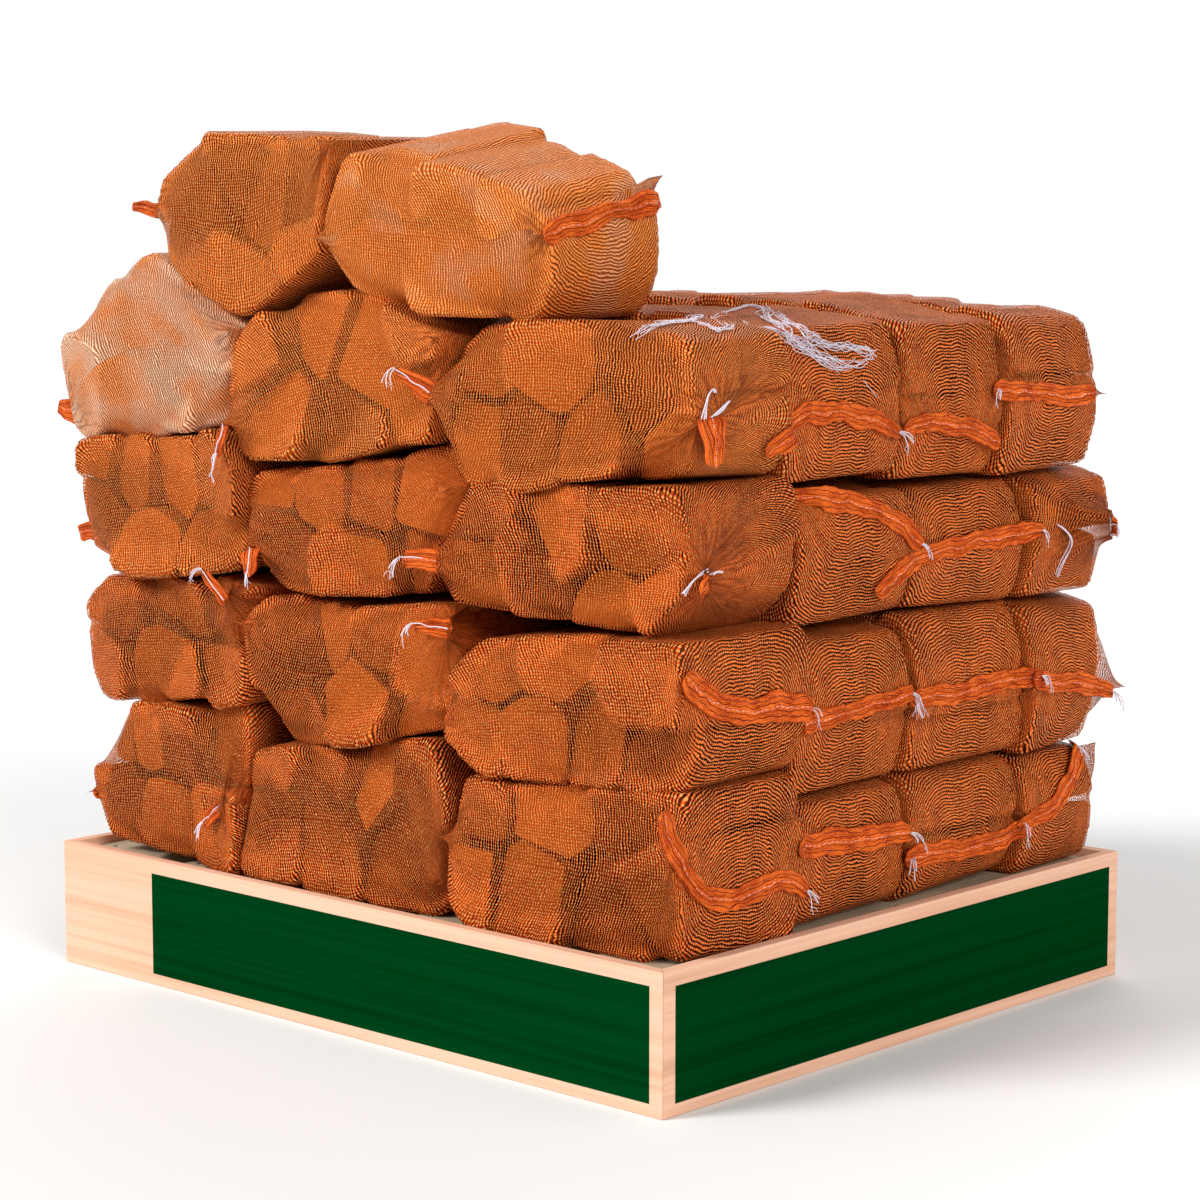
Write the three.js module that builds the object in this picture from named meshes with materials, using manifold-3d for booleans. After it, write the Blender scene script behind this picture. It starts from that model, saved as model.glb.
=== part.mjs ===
// Pallet of split oak logs in knitted net sacks, with a low board skirt round the pallet.
// Millimetres, +Z up. The origin is on the floor under the middle of the pallet. +X runs along
// the pallet's 1200 mm side, and the front row of sacks faces -Y.

import * as THREE from 'three';
import * as BufferGeometryUtils from 'three/addons/utils/BufferGeometryUtils.js';
import Module from 'manifold-3d';

const wasm = await Module();
wasm.setup();

// Pallet boards and blocks
const PALLET_LENGTH = 1200;
const PALLET_WIDTH = 1000;
const RUNNER_BOARD = { width: 145, thickness: 25 };
const BLOCK = { length: 145, width: 145, height: 100 };
const STRINGER = { width: 145, thickness: 25 };
const DECK_THICKNESS = 28;
const EDGE_BOARD_WIDTH = 145;
const INNER_BOARD_WIDTH = 110;
const INNER_BOARD_COUNT = 5;
const TOUCH_GAP = 0.3;

// Skirt boards round the pallet
const SKIRT_THICKNESS = 18;
const SKIRT_HEIGHT = 190;

// Along Y, where the logs of the rows of each layer begin, meet and end, from the deck up.
// The last layer is the two sacks on top. The lowest layer's back row stays inside the skirt
const ROW_LINES = [
  [-478, -225, 29, 297, 485],
  [-478, -225, 29, 297, 504],
  [-478, -238, 33, 302, 506],
  [-478, -264, 2, 238, 478],
  [-484, -256],
];
const ROW_GAP = 6;
const LAYER_COUNT = 4;
const ROW_COUNT = 4;
const COLUMNS = ['left', 'middle', 'right'];
const SACK_GAP = 5;
const SEAT_CLEARANCE = 1.006;

// Log ends: how far they stand out, how deep the net lies between them, and their slope
const END_OUT = 12;
const END_SPREAD = 40;
const SEAM_DEPTH = 15;
const END_SLOPE = 0.3;
const END_SHARE = 0.8;
const RIM_SHARE = 0.94;
const RIM_DEPTH = 22;

// Logs in a sack: how many lie in each of its two tiers, and how far each strays from its place
const TIER_COUNTS = [[4, 3], [3, 4]];
const LOG_STRAY = { across: 0.3, up: 0.28 };

const WOOD_BROWN = '#8a6f55';
const RUNNER_BROWN = '#7c6550';
const SKIRT_CREAM = '#ecd2bb';
const NET_ORANGE = '#a85a30';

const deckTop = RUNNER_BOARD.thickness + BLOCK.height + STRINGER.thickness + DECK_THICKNESS;

// Outlines of the front sacks as seen from the front: X and Z of each corner, anticlockwise
const FRONT_OUTLINES = {
  layer1_row1_left: [[-556, 199], [-262, 187], [-232, 300], [-232, 372], [-246, 427],
    [-512, 413], [-580, 330], [-576, 250]],
  layer1_row1_middle: [[-250, 188], [150, 190], [181, 237], [178, 340], [148, 418],
    [-150, 386], [-246, 364]],
  layer1_row1_right: [[240, 184], [588, 184], [602, 250], [598, 404], [465, 396],
    [216, 382], [190, 300], [196, 220]],
  layer2_row1_left: [[-576, 412], [-437, 414], [-229, 446], [-210, 520], [-212, 600],
    [-338, 624], [-565, 604], [-624, 543], [-612, 450]],
  layer2_row1_middle: [[-236, 457], [-164, 390], [168, 432], [196, 480], [204, 557],
    [150, 629], [-171, 612], [-240, 540]],
  layer2_row1_right: [[190, 440], [264, 392], [590, 414], [612, 470], [612, 604],
    [450, 600], [246, 570], [180, 490]],
  layer3_row1_left: [[-601, 640], [-456, 603], [-258, 640], [-234, 700], [-237, 782],
    [-292, 838], [-449, 823], [-604, 806], [-622, 720]],
  layer3_row1_middle: [[-250, 650], [-117, 603], [120, 628], [196, 700], [212, 778],
    [166, 836], [-50, 804], [-140, 789], [-244, 768]],
  layer3_row1_right: [[150, 690], [189, 616], [534, 600], [600, 660], [622, 730],
    [594, 802], [465, 805], [209, 774]],
  layer4_row1_left: [[-640, 830], [-600, 812], [-292, 843], [-220, 900], [-207, 966],
    [-350, 1042], [-440, 1082], [-490, 1078], [-570, 1034], [-634, 950]],
  layer4_row1_middle: [[-250, 790], [-50, 805], [168, 842], [186, 910], [180, 973],
    [60, 1020], [-15, 1038], [-151, 1032], [-265, 930], [-285, 840]],
  layer4_row1_right: [[158, 860], [219, 780], [358, 784], [590, 806], [622, 890],
    [600, 978], [395, 1000], [230, 988], [165, 930]],
  top_left: [[-185, 985], [-60, 1060], [-46, 1110], [-30, 1236], [-310, 1253],
    [-400, 1196], [-418, 1120], [-390, 1070], [-327, 1052]],
  top_right: [[-5, 1045], [120, 1012], [267, 998], [338, 1002], [370, 1050], [376, 1110],
    [352, 1166], [190, 1205], [-6, 1222], [-55, 1120]],
};

// Where the columns and layers of the rows behind meet, before each junction is jittered
const COLUMN_EDGES = [-592, -238, 182, 603];
const LAYER_LEVELS = [
  [deckTop + 1, 396, 598, 806, 1024],
  [deckTop + 1, 392, 600, 808, 1030],
  [deckTop + 1, 384, 594, 800, 1040],
  [deckTop + 1, 362, 583, 768, 1006],
];
const JUNCTION_JITTER = { x: 15, z: 9 };
const SEAT_CORNERS = 12;
const SEAT_ROUNDNESS = 7;

// Hems on the right-hand end of the right column: height at the front, middle and back edge
const HEM_HEIGHTS = {
  layer1_row1_right: [352, 268, 256], layer1_row2_right: [304, 296, 287],
  layer1_row3_right: [250, 245, 253], layer1_row4_right: [258, 284, 322],
  layer2_row1_right: [502, 522, 498], layer2_row2_right: [470, 474, 484],
  layer2_row3_right: [478, 474, 481], layer2_row4_right: [474, 456, 440],
  layer3_row2_right: [722, 728, 700], layer3_row3_right: [625, 668, 692],
  layer4_row2_right: [849, 882, 845], layer4_row3_right: [849, 853, 828],
  layer4_row4_right: [894, 888, 884],
  top_right: [1116, 1138, 1160],
};
const HEM = { width: 26, thickness: 7, bury: 6, stations: 5, margin: 5 };

// Ears: corners of the sewn hems that stand off their sacks as flaps. Each leaves its sack at a
// root, ends at a tip, and lies flat as seen from the front unless it looks another way
const EARS = [
  { sack: 'layer3_row1_left', root: [-619, -446, 665], tip: [-657, -446, 663], width: 34 },
  { sack: 'layer4_row1_left', root: [-656, -446, 846], tip: [-705, -446, 857], width: 40 },
  { sack: 'top_left', root: [-451, -446, 1152], tip: [-513, -446, 1165], width: 24 },
  { sack: 'layer1_row1_left', root: [-256, -490, 296], tip: [-299, -503, 259], width: 29 },
  { sack: 'layer2_row1_left', root: [-258, -487, 589], tip: [-292, -501, 635], width: 23 },
  { sack: 'layer2_row1_middle', root: [199, -480, 587], tip: [150, -501, 593], width: 30 },
  { sack: 'layer3_row1_middle', root: [-196, -488, 669], tip: [-185, -503, 635], width: 40 },
  { sack: 'layer4_row1_middle', root: [-254, -487, 843], tip: [-254, -501, 802], width: 20 },
  { sack: 'layer4_row1_right', root: [177, -489, 904], tip: [125, -507, 935], width: 37 },
  { sack: 'layer3_row1_right', root: [187, -489, 679], tip: [133, -504, 682], width: 40 },
  { sack: 'layer3_row1_right', root: [622, -444, 679], tip: [632, -467, 671], width: 25,
    looks: [1, 0, 0] },
  { sack: 'layer4_row1_right', root: [630, -445, 887], tip: [640, -443, 806], width: 45,
    looks: [1, 0, 0] },
  { sack: 'layer3_row4_right', root: [606, 428, 691], tip: [660, 434, 694], width: 89,
    thickness: 60 },
];
const EAR = { sides: 8, base: 30, depth: 55, thickness: 10, taper: 0.55 };

// Hems and ears on the left-hand end of the left column, where no other is named above
const HEM_WAVE = 7;
const OUTER_EAR = { stand: 26, wander: 30, reach: 34, width: 30, aside: 0.2, droop: 0.25 };

// How much higher the back edge of a top sack is than its front edge
const TOP_RISE = { top_left: 10, top_right: 42 };

// A fraction from 0 to 1 that looks random and is the same every time for the same keys
function draw(a, b = 0, c = 0, d = 0) {
  const wave = Math.sin(a * 12.9898 + b * 78.233 + c * 37.719 + d * 9.131 + 4.7) * 43758.5453;
  return wave - Math.floor(wave);
}

function centroid(polygon) {
  let area = 0;
  let x = 0;
  let z = 0;
  polygon.forEach(([px, pz], i) => {
    const [qx, qz] = polygon[(i + 1) % polygon.length];
    const cross = px * qz - qx * pz;
    area += cross;
    x += (px + qx) * cross;
    z += (pz + qz) * cross;
  });
  return [x / (3 * area), z / (3 * area)];
}

function towards(point, centre, share) {
  return point.map((value, i) => centre[i] + (value - centre[i]) * share);
}

// Keeps the side of a convex polygon where normal . point is at most limit
function cut(polygon, normal, limit) {
  const kept = [];
  const height = ([x, z]) => normal[0] * x + normal[1] * z - limit;
  polygon.forEach((point, i) => {
    const next = polygon[(i + 1) % polygon.length];
    const here = height(point);
    const there = height(next);
    if (here <= 0) kept.push(point);
    if (here * there < 0) kept.push(towards(next, point, here / (here - there)));
  });
  return kept;
}

function convexHull(points) {
  const sorted = [...points].sort((p, q) => p[0] - q[0] || p[1] - q[1]);
  const half = (list) => {
    const chain = [];
    for (const p of list) {
      while (chain.length > 1) {
        const [a, b] = chain.slice(-2);
        if ((b[0] - a[0]) * (p[1] - a[1]) - (b[1] - a[1]) * (p[0] - a[0]) > 0) break;
        chain.pop();
      }
      chain.push(p);
    }
    return chain.slice(0, -1);
  };
  return [...half(sorted), ...half(sorted.reverse())];
}

// Outward unit normals of a convex anticlockwise polygon
function edgeNormals(polygon) {
  return polygon.map(([x, z], i) => {
    const [nx, nz] = polygon[(i + 1) % polygon.length];
    const length = Math.hypot(nx - x, nz - z);
    return [(nz - z) / length, (x - nx) / length];
  });
}

const reach = (polygon, [nx, nz]) => Math.max(...polygon.map(([x, z]) => nx * x + nz * z));

// Cuts two neighbouring outlines back to either side of the line that divides them best
function separate(first, second) {
  const normals = [...edgeNormals(first), ...edgeNormals(second).map(([x, z]) => [-x, -z])];
  const room = (n) => -reach(second, [-n[0], -n[1]]) - reach(first, n);
  const normal = normals.reduce((best, n) => (room(n) > room(best) ? n : best));
  const lack = SACK_GAP - room(normal);
  if (lack <= 0) return [first, second];
  const edge = reach(first, normal) - lack / 2;
  const opposite = [-normal[0], -normal[1]];
  return [cut(first, normal, edge), cut(second, opposite, -(edge + SACK_GAP))];
}

// Junction of a column edge and a layer level in one of the rows behind the front
function junction(row, edge, level) {
  const onDeck = level === 0 ? 0 : 1;
  const aside = 2 * draw(row, edge, level, 1) - 1;
  const up = 2 * draw(row, edge, level, 2) - 1;
  return [COLUMN_EDGES[edge] + aside * JUNCTION_JITTER.x,
    LAYER_LEVELS[edge][level] + onDeck * up * JUNCTION_JITTER.z];
}

// Rounded outline of a sack that fills its seat between four junctions
function seatOutline(row, column, layer) {
  const left = [junction(row, column, layer), junction(row, column, layer + 1)];
  const right = [junction(row, column + 1, layer), junction(row, column + 1, layer + 1)];
  const points = [];
  for (let i = 0; i < SEAT_CORNERS; i += 1) {
    const turn = ((i + 0.5) / SEAT_CORNERS) * 2 * Math.PI;
    const wobble = 0.97 + 0.03 * draw(row, column, layer, 10 + i);
    const [c, s] = [Math.cos(turn), Math.sin(turn)];
    const radius = (Math.abs(c) ** SEAT_ROUNDNESS + Math.abs(s) ** SEAT_ROUNDNESS)
      ** (-1 / SEAT_ROUNDNESS);
    const u = 0.5 + 0.5 * radius * c * wobble;
    const v = 0.5 + 0.5 * radius * s * wobble;
    const low = towards(right[0], left[0], u);
    const high = towards(right[1], left[1], u);
    points.push(towards(high, low, v));
  }
  const centre = centroid(points);
  const share = 1 - SACK_GAP / 200;
  return convexHull(points.map((p) => towards(p, centre, share)));
}

// Splits a sack's outline into one convex cell for each log, by the lines halfway between seeds
function logCells(outline, key) {
  const xs = outline.map(([x]) => x);
  const zs = outline.map(([, z]) => z);
  const [x0, x1] = [Math.min(...xs), Math.max(...xs)];
  const [z0, z1] = [Math.min(...zs), Math.max(...zs)];
  const seeds = [];
  const counts = TIER_COUNTS[draw(key, 3) < 0.5 ? 0 : 1];
  counts.forEach((count, tier) => {
    for (let i = 0; i < count; i += 1) {
      const across = (i + 0.5 + (2 * draw(key, tier, i, 4) - 1) * LOG_STRAY.across) / count;
      const up = (tier + 0.5 + (2 * draw(key, tier, i, 5) - 1) * LOG_STRAY.up) / counts.length;
      seeds.push([x0 + (x1 - x0) * across, z0 + (z1 - z0) * up]);
    }
  });
  return seeds.map((seed, i) => seeds.reduce((cell, other, j) => {
    if (i === j || cell.length < 3) return cell;
    const across = [other[0] - seed[0], other[1] - seed[1]];
    const middle = [(other[0] + seed[0]) / 2, (other[1] + seed[1]) / 2];
    return cut(cell, across, across[0] * middle[0] + across[1] * middle[1]);
  }, outline)).filter((cell) => cell.length > 2);
}

// Surface under construction: triangles of X, Y, Z points
class Skin {
  constructor() {
    this.corners = [];
  }

  triangle(a, b, c) {
    this.corners.push(...a, ...b, ...c);
  }

  fan(loop) {
    for (let i = 1; i < loop.length - 1; i += 1) this.triangle(loop[0], loop[i], loop[i + 1]);
  }

  band(outer, inner) {
    outer.forEach((a, i) => {
      const next = (i + 1) % outer.length;
      this.triangle(a, outer[next], inner[next]);
      this.triangle(a, inner[next], inner[i]);
    });
  }

  geometry() {
    const raw = new THREE.BufferGeometry();
    raw.setAttribute('position', new THREE.Float32BufferAttribute(this.corners, 3));
    return BufferGeometryUtils.mergeVertices(raw, 0.01);
  }
}

const near = (p, q) => Math.hypot(p[0] - q[0], p[1] - q[1]) < 0.05;

// Every different point where the cells meet the rim, in order round the rim
function rimPoints(cells, rim) {
  const found = [];
  const normals = edgeNormals(rim);
  const onRim = (p) => rim.some((q, i) => Math.abs(
    normals[i][0] * (p[0] - q[0]) + normals[i][1] * (p[1] - q[1])) < 0.02);
  cells.flat().forEach((p) => {
    if (onRim(p) && !found.some((q) => near(p, q))) found.push(p);
  });
  const [cx, cz] = centroid(rim);
  return found.sort((p, q) => Math.atan2(p[1] - cz, p[0] - cx)
    - Math.atan2(q[1] - cz, q[0] - cx));
}

// One end of the sack with its log ends standing out. side is -1 for the front, 1 for the back
function addLogEnds(skin, cells, edgeY, side, key) {
  const ends = cells.map((cell, i) => ({
    cell,
    centre: centroid(cell),
    out: END_OUT - END_SPREAD * draw(key, i, side, 6),
    slope: [7, 8].map((k) => (2 * draw(key, i, side, k) - 1) * END_SLOPE),
  }));
  const seamY = (p) => {
    const touching = ends.filter(({ cell }) => cell.some((q) => near(p, q)));
    const out = touching.reduce((sum, end) => sum + end.out, 0) / touching.length;
    return edgeY + side * Math.max(out - SEAM_DEPTH, -RIM_DEPTH);
  };
  ends.forEach(({ cell, centre, out, slope }) => {
    const outer = cell.map((p) => [p[0], seamY(p), p[1]]);
    const inner = cell.map((p) => {
      const q = towards(p, centre, END_SHARE);
      const lean = slope[0] * (q[0] - centre[0]) + slope[1] * (q[1] - centre[1]);
      return [q[0], edgeY + side * (out + lean), q[1]];
    });
    if (side > 0) {
      outer.reverse();
      inner.reverse();
    }
    skin.band(outer, inner);
    skin.fan(inner);
  });
  return seamY;
}

function addFlatEnd(skin, loop, y, side) {
  const ring = loop.map(([x, z]) => [x, y, z]);
  if (side > 0) ring.reverse();
  const [cx, cz] = centroid(loop);
  ring.forEach((p, i) => skin.triangle([cx, y, cz], p, ring[(i + 1) % ring.length]));
}

// The net sack round its logs, without its hem or ears
function sackBody({ outline, key, front, back, frontShows, backShows, rise }) {
  const skin = new Skin();
  const middle = centroid(outline);
  const rim = outline.map((p) => towards(p, middle, RIM_SHARE));
  const cells = logCells(rim, key);
  const shows = frontShows || backShows;
  const inner = shows ? rimPoints(cells, rim) : rim;
  const outer = inner.map((p) => towards(p, middle, 1 / RIM_SHARE));
  const ends = [[front, -1, frontShows], [back, 1, backShows]].map(([edgeY, side, relief]) => {
    if (!relief) {
      addFlatEnd(skin, outer, edgeY, side);
      return outer.map(([x, z]) => [x, edgeY, z]);
    }
    const seamY = addLogEnds(skin, cells, edgeY, side, key);
    const ring = inner.map((p) => [p[0], seamY(p), p[1]]);
    const full = outer.map(([x, z]) => [x, edgeY - side * RIM_DEPTH, z]);
    if (side > 0) skin.band([...full].reverse(), [...ring].reverse());
    else skin.band(full, ring);
    return full;
  });
  skin.band(ends[1], ends[0]);
  const low = Math.min(...outline.map(([, z]) => z));
  const high = Math.max(...outline.map(([, z]) => z));
  const geometry = skin.geometry();
  const position = geometry.attributes.position;
  for (let i = 0; i < position.count; i += 1) {
    const lift = ((position.getY(i) - front) / (back - front)) * rise;
    const z = position.getZ(i);
    position.setZ(i, z + (lift * (z - low)) / (high - low));
  }
  return geometry;
}

// How far the outline reaches in +X or -X at a height
function endX(outline, z, direction) {
  let best = -Infinity;
  outline.forEach(([x0, z0], i) => {
    const [x1, z1] = outline[(i + 1) % outline.length];
    if ((z0 - z) * (z1 - z) > 0 || z0 === z1) return;
    best = Math.max(best, direction * (x0 + ((x1 - x0) * (z - z0)) / (z1 - z0)));
  });
  return direction * best;
}

// The sewn hem: a flap that runs along the sack's end, through three heights from front to back
function hemStrip({ outline, front, back, rise }, heights, direction) {
  const skin = new Skin();
  const low = Math.min(...outline.map(([, z]) => z));
  const high = Math.max(...outline.map(([, z]) => z));
  const rings = [];
  for (let i = 0; i < HEM.stations; i += 1) {
    const t = i / (HEM.stations - 1);
    const y = front + HEM.margin + t * (back - front - 2 * HEM.margin);
    const [a, b, c] = heights;
    const z = a * (1 - t) * (1 - 2 * t) + b * 4 * t * (1 - t) + c * t * (2 * t - 1);
    const level = z - (rise * t * (z - low)) / (high - low);
    const x = endX(outline, level, direction);
    const half = HEM.width / 2;
    const section = [
      [x - direction * HEM.bury, z + half * 0.9],
      [x + direction * HEM.thickness * 0.5, z + half],
      [x + direction * HEM.thickness * 1.4, z - half * 0.3],
      [x + direction * HEM.thickness, z - half],
      [x - direction * HEM.bury, z - half * 0.9],
    ];
    rings.push(section.map(([px, pz]) => [px, y, pz]));
  }
  if (direction > 0) rings.forEach((ring) => ring.reverse());
  skin.fan([...rings[0]]);
  for (let i = 1; i < rings.length; i += 1) skin.band(rings[i], rings[i - 1]);
  skin.fan([...rings[rings.length - 1]].reverse());
  return skin.geometry();
}

// The ear: net that gathers from the sack's body to a flat root, and a flap from there to a tip
function earFlap({ outline, front }, { root, tip, width, thickness = EAR.thickness,
  looks = [0, -1, 0] }) {
  const [x, z] = centroid(outline);
  const [start, end] = [new THREE.Vector3(...root), new THREE.Vector3(...tip)];
  const flap = end.clone().sub(start).normalize();
  const inward = new THREE.Vector3(x, front + 2 * EAR.depth, z).sub(start).normalize();
  const across = flap.clone().cross(new THREE.Vector3(...looks)).normalize();
  const base = start.clone().addScaledVector(inward, EAR.depth);
  const sections = [
    [base, inward.clone().negate(), EAR.base, EAR.base],
    [start, flap.clone().sub(inward).normalize(), width / 2, thickness / 2],
    [end, flap, (width / 2) * EAR.taper, (thickness / 2) * EAR.taper],
  ];
  const rings = sections.map(([middle, axis, wide, thick]) => {
    const normal = axis.clone().cross(across).normalize();
    const level = normal.clone().cross(axis);
    return Array.from({ length: EAR.sides }, (_, i) => {
      const turn = (i / EAR.sides) * 2 * Math.PI;
      return middle.clone().addScaledVector(level, wide * Math.cos(turn))
        .addScaledVector(normal, thick * Math.sin(turn)).toArray();
    });
  });
  const skin = new Skin();
  skin.fan([...rings[0]].reverse());
  skin.band(rings[0], rings[1]);
  skin.band(rings[1], rings[2]);
  skin.fan(rings[2]);
  return skin.geometry();
}

function solidOf(geometry) {
  const bare = geometry.clone();
  bare.deleteAttribute('normal');
  bare.deleteAttribute('uv');
  const merged = BufferGeometryUtils.mergeVertices(bare, 0.01);
  return new wasm.Manifold(new wasm.Mesh({
    numProp: 3,
    vertProperties: new Float32Array(merged.attributes.position.array),
    triVerts: new Uint32Array(merged.index.array),
  }));
}

function geometryOf(solid) {
  const mesh = solid.getMesh();
  const geometry = new THREE.BufferGeometry();
  geometry.setAttribute('position', new THREE.BufferAttribute(mesh.vertProperties, 3));
  geometry.setIndex(new THREE.BufferAttribute(mesh.triVerts, 1));
  return geometry;
}

// The block of space that a sack's logs may fill, with room to spare round it
function seatBlock({ outline, front, back }) {
  const middle = centroid(outline);
  const around = outline.map((p) => towards(p, middle, SEAT_CLEARANCE));
  const skin = new Skin();
  const nose = front - END_OUT - 2;
  addFlatEnd(skin, around, nose, -1);
  addFlatEnd(skin, around, back, 1);
  skin.band(around.map(([x, z]) => [x, back, z]), around.map(([x, z]) => [x, nose, z]));
  return solidOf(skin.geometry());
}

const join = (geometries) => geometryOf(geometries.map(solidOf).reduce((a, b) => a.add(b)));

function piece(name, geometry, color, roughness) {
  geometry.computeVertexNormals();
  const material = new THREE.MeshStandardMaterial({ color, roughness, metalness: 0 });
  const mesh = new THREE.Mesh(geometry, material);
  mesh.name = name;
  return mesh;
}

function board(length, width, thickness, x, y, bottom) {
  const box = new THREE.BoxGeometry(length, width, thickness);
  box.translate(x, y, bottom + thickness / 2);
  return box;
}

// Deck boards along Y, nailed to three stringer boards along X
function palletDeck() {
  const bottom = RUNNER_BOARD.thickness + BLOCK.height + TOUCH_GAP;
  const overlap = 1;
  const thickness = STRINGER.thickness - TOUCH_GAP + overlap;
  const parts = [-1, 0, 1].map((side) => board(PALLET_LENGTH, STRINGER.width, thickness, 0,
    (side * (PALLET_WIDTH - STRINGER.width)) / 2, bottom));
  const top = deckTop - DECK_THICKNESS;
  const edge = (PALLET_LENGTH - EDGE_BOARD_WIDTH) / 2;
  const room = PALLET_LENGTH - 2 * EDGE_BOARD_WIDTH - INNER_BOARD_COUNT * INNER_BOARD_WIDTH;
  const pitch = INNER_BOARD_WIDTH + room / (INNER_BOARD_COUNT + 1);
  [-1, 1].forEach((side) => parts.push(
    board(EDGE_BOARD_WIDTH, PALLET_WIDTH, DECK_THICKNESS, side * edge, 0, top)));
  for (let i = 0; i < INNER_BOARD_COUNT; i += 1) {
    const x = (i - (INNER_BOARD_COUNT - 1) / 2) * pitch;
    parts.push(board(INNER_BOARD_WIDTH, PALLET_WIDTH, DECK_THICKNESS, x, 0, top));
  }
  return join(parts);
}

// Three blocks on a bottom board
function palletRunner(side) {
  const y = side * (PALLET_WIDTH - RUNNER_BOARD.width) / 2;
  const overlap = 1;
  const parts = [board(PALLET_LENGTH, RUNNER_BOARD.width, RUNNER_BOARD.thickness, 0, y, 0)];
  [-1, 0, 1].forEach((place) => parts.push(board(BLOCK.length, BLOCK.width,
    BLOCK.height + overlap, place * (PALLET_LENGTH - BLOCK.length) / 2, y,
    RUNNER_BOARD.thickness - overlap)));
  return join(parts);
}

// A skirt board with mitred ends: inner length, and which way its face looks
function skirtBoard(innerLength, distance, turn) {
  const half = innerLength / 2;
  const outline = new THREE.Shape();
  outline.moveTo(-half, 0);
  outline.lineTo(-half - SKIRT_THICKNESS, -SKIRT_THICKNESS);
  outline.lineTo(half + SKIRT_THICKNESS, -SKIRT_THICKNESS);
  outline.lineTo(half, 0);
  outline.closePath();
  const body = new THREE.ExtrudeGeometry(outline, { depth: SKIRT_HEIGHT, bevelEnabled: false });
  body.translate(0, -distance, 0);
  body.rotateZ(turn);
  return body;
}

const pallet = new THREE.Group();
pallet.add(piece('pallet_deck', palletDeck(), WOOD_BROWN, 0.85));
['front', 'centre', 'back'].forEach((name, i) => {
  pallet.add(piece(`pallet_runner_${name}`, palletRunner(i - 1), RUNNER_BROWN, 0.85));
});

const skirt = new THREE.Group();
const mitreGap = TOUCH_GAP * 1.5;
const skirtSides = [['front', PALLET_LENGTH, PALLET_WIDTH], ['right', PALLET_WIDTH, PALLET_LENGTH],
  ['back', PALLET_LENGTH, PALLET_WIDTH], ['left', PALLET_WIDTH, PALLET_LENGTH]];
skirtSides.forEach(([name, along, across], i) => {
  const geometry = skirtBoard(along + 2 * TOUCH_GAP - mitreGap, across / 2 + TOUCH_GAP,
    i * Math.PI / 2);
  skirt.add(piece(`skirt_board_${name}`, geometry, SKIRT_CREAM, 0.6));
});

// Hem or ear on an outer end of a sack behind the front row, by turns
function outerClosure(sack, direction) {
  const { outline, front, back, row, layer } = sack;
  const zs = outline.map(([, z]) => z);
  const [low, high] = [Math.min(...zs), Math.max(...zs)];
  const height = low + (high - low) * (0.35 + 0.25 * draw(row, layer, 11));
  if ((row + layer) % 2 === 0) {
    const heights = [height - HEM_WAVE, height + HEM_WAVE, height - HEM_WAVE / 2];
    return hemStrip(sack, heights, direction);
  }
  const { stand, wander, reach: length, width, droop } = OUTER_EAR;
  const x = endX(outline, height, direction) + direction * stand;
  const y = (front + back) / 2 + wander * (draw(row, layer, 12) - 0.5);
  const aside = OUTER_EAR.aside * (draw(row, layer, 13) - 0.5);
  const tip = [x + direction * length, y + aside * length, height - droop * length];
  return earFlap(sack, { root: [x, y, height], tip, width });
}

// Where each sack lies in the stack, with its outline cut clear of its neighbours'
function laidSacks() {
  const sacks = [];
  const lay = (name, row, column, layer) => {
    const backShows = row === ROW_COUNT - 1 || layer === LAYER_COUNT;
    sacks.push({
      name,
      row,
      column,
      layer,
      key: 1 + row * 31 + column * 7 + layer * 3,
      outline: row === 0 ? convexHull(FRONT_OUTLINES[name]) : seatOutline(row, column, layer),
      front: ROW_LINES[layer][row] + (row > 0 ? ROW_GAP / 2 : 0),
      back: ROW_LINES[layer][row + 1] - (backShows ? 0 : ROW_GAP / 2),
      frontShows: row === 0,
      backShows,
      rise: TOP_RISE[name] ?? 0,
    });
  };
  for (let layer = 0; layer < LAYER_COUNT; layer += 1) {
    for (let row = 0; row < ROW_COUNT; row += 1) {
      COLUMNS.forEach((side, column) => {
        lay(`layer${layer + 1}_row${row + 1}_${side}`, row, column, layer);
      });
    }
  }
  lay('top_left', 0, 0, LAYER_COUNT);
  lay('top_right', 0, 1, LAYER_COUNT);
  sacks.forEach((first, i) => sacks.slice(i + 1).forEach((second) => {
    if (first.front >= second.back || second.front >= first.back) return;
    [first.outline, second.outline] = separate(first.outline, second.outline);
  }));
  return sacks;
}

const sacks = laidSacks();
const stack = new THREE.Group();

sacks.forEach((sack) => {
  const { name, row, column, layer } = sack;
  const parts = [sackBody(sack)];
  if (HEM_HEIGHTS[name]) parts.push(hemStrip(sack, HEM_HEIGHTS[name], 1));
  const others = sacks.filter((other) => other.row === row && other !== sack);
  EARS.filter((ear) => ear.sack === name).forEach((ear) => {
    const flap = others.reduce((solid, other) => solid.subtract(seatBlock(other)),
      solidOf(earFlap(sack, ear)));
    parts.push(geometryOf(flap));
  });
  if (column === 0 && (row > 0 || layer < 2)) parts.push(outerClosure(sack, -1));
  stack.add(piece(`log_sack_${name}`, join(parts), NET_ORANGE, 0.55));
});

const load = new THREE.Group();
load.add(pallet, skirt, stack);

export default load;
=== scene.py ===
import math

import bmesh
import bpy
import numpy as np
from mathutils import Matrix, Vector, geometry, noise
from mathutils.bvhtree import BVHTree


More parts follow.
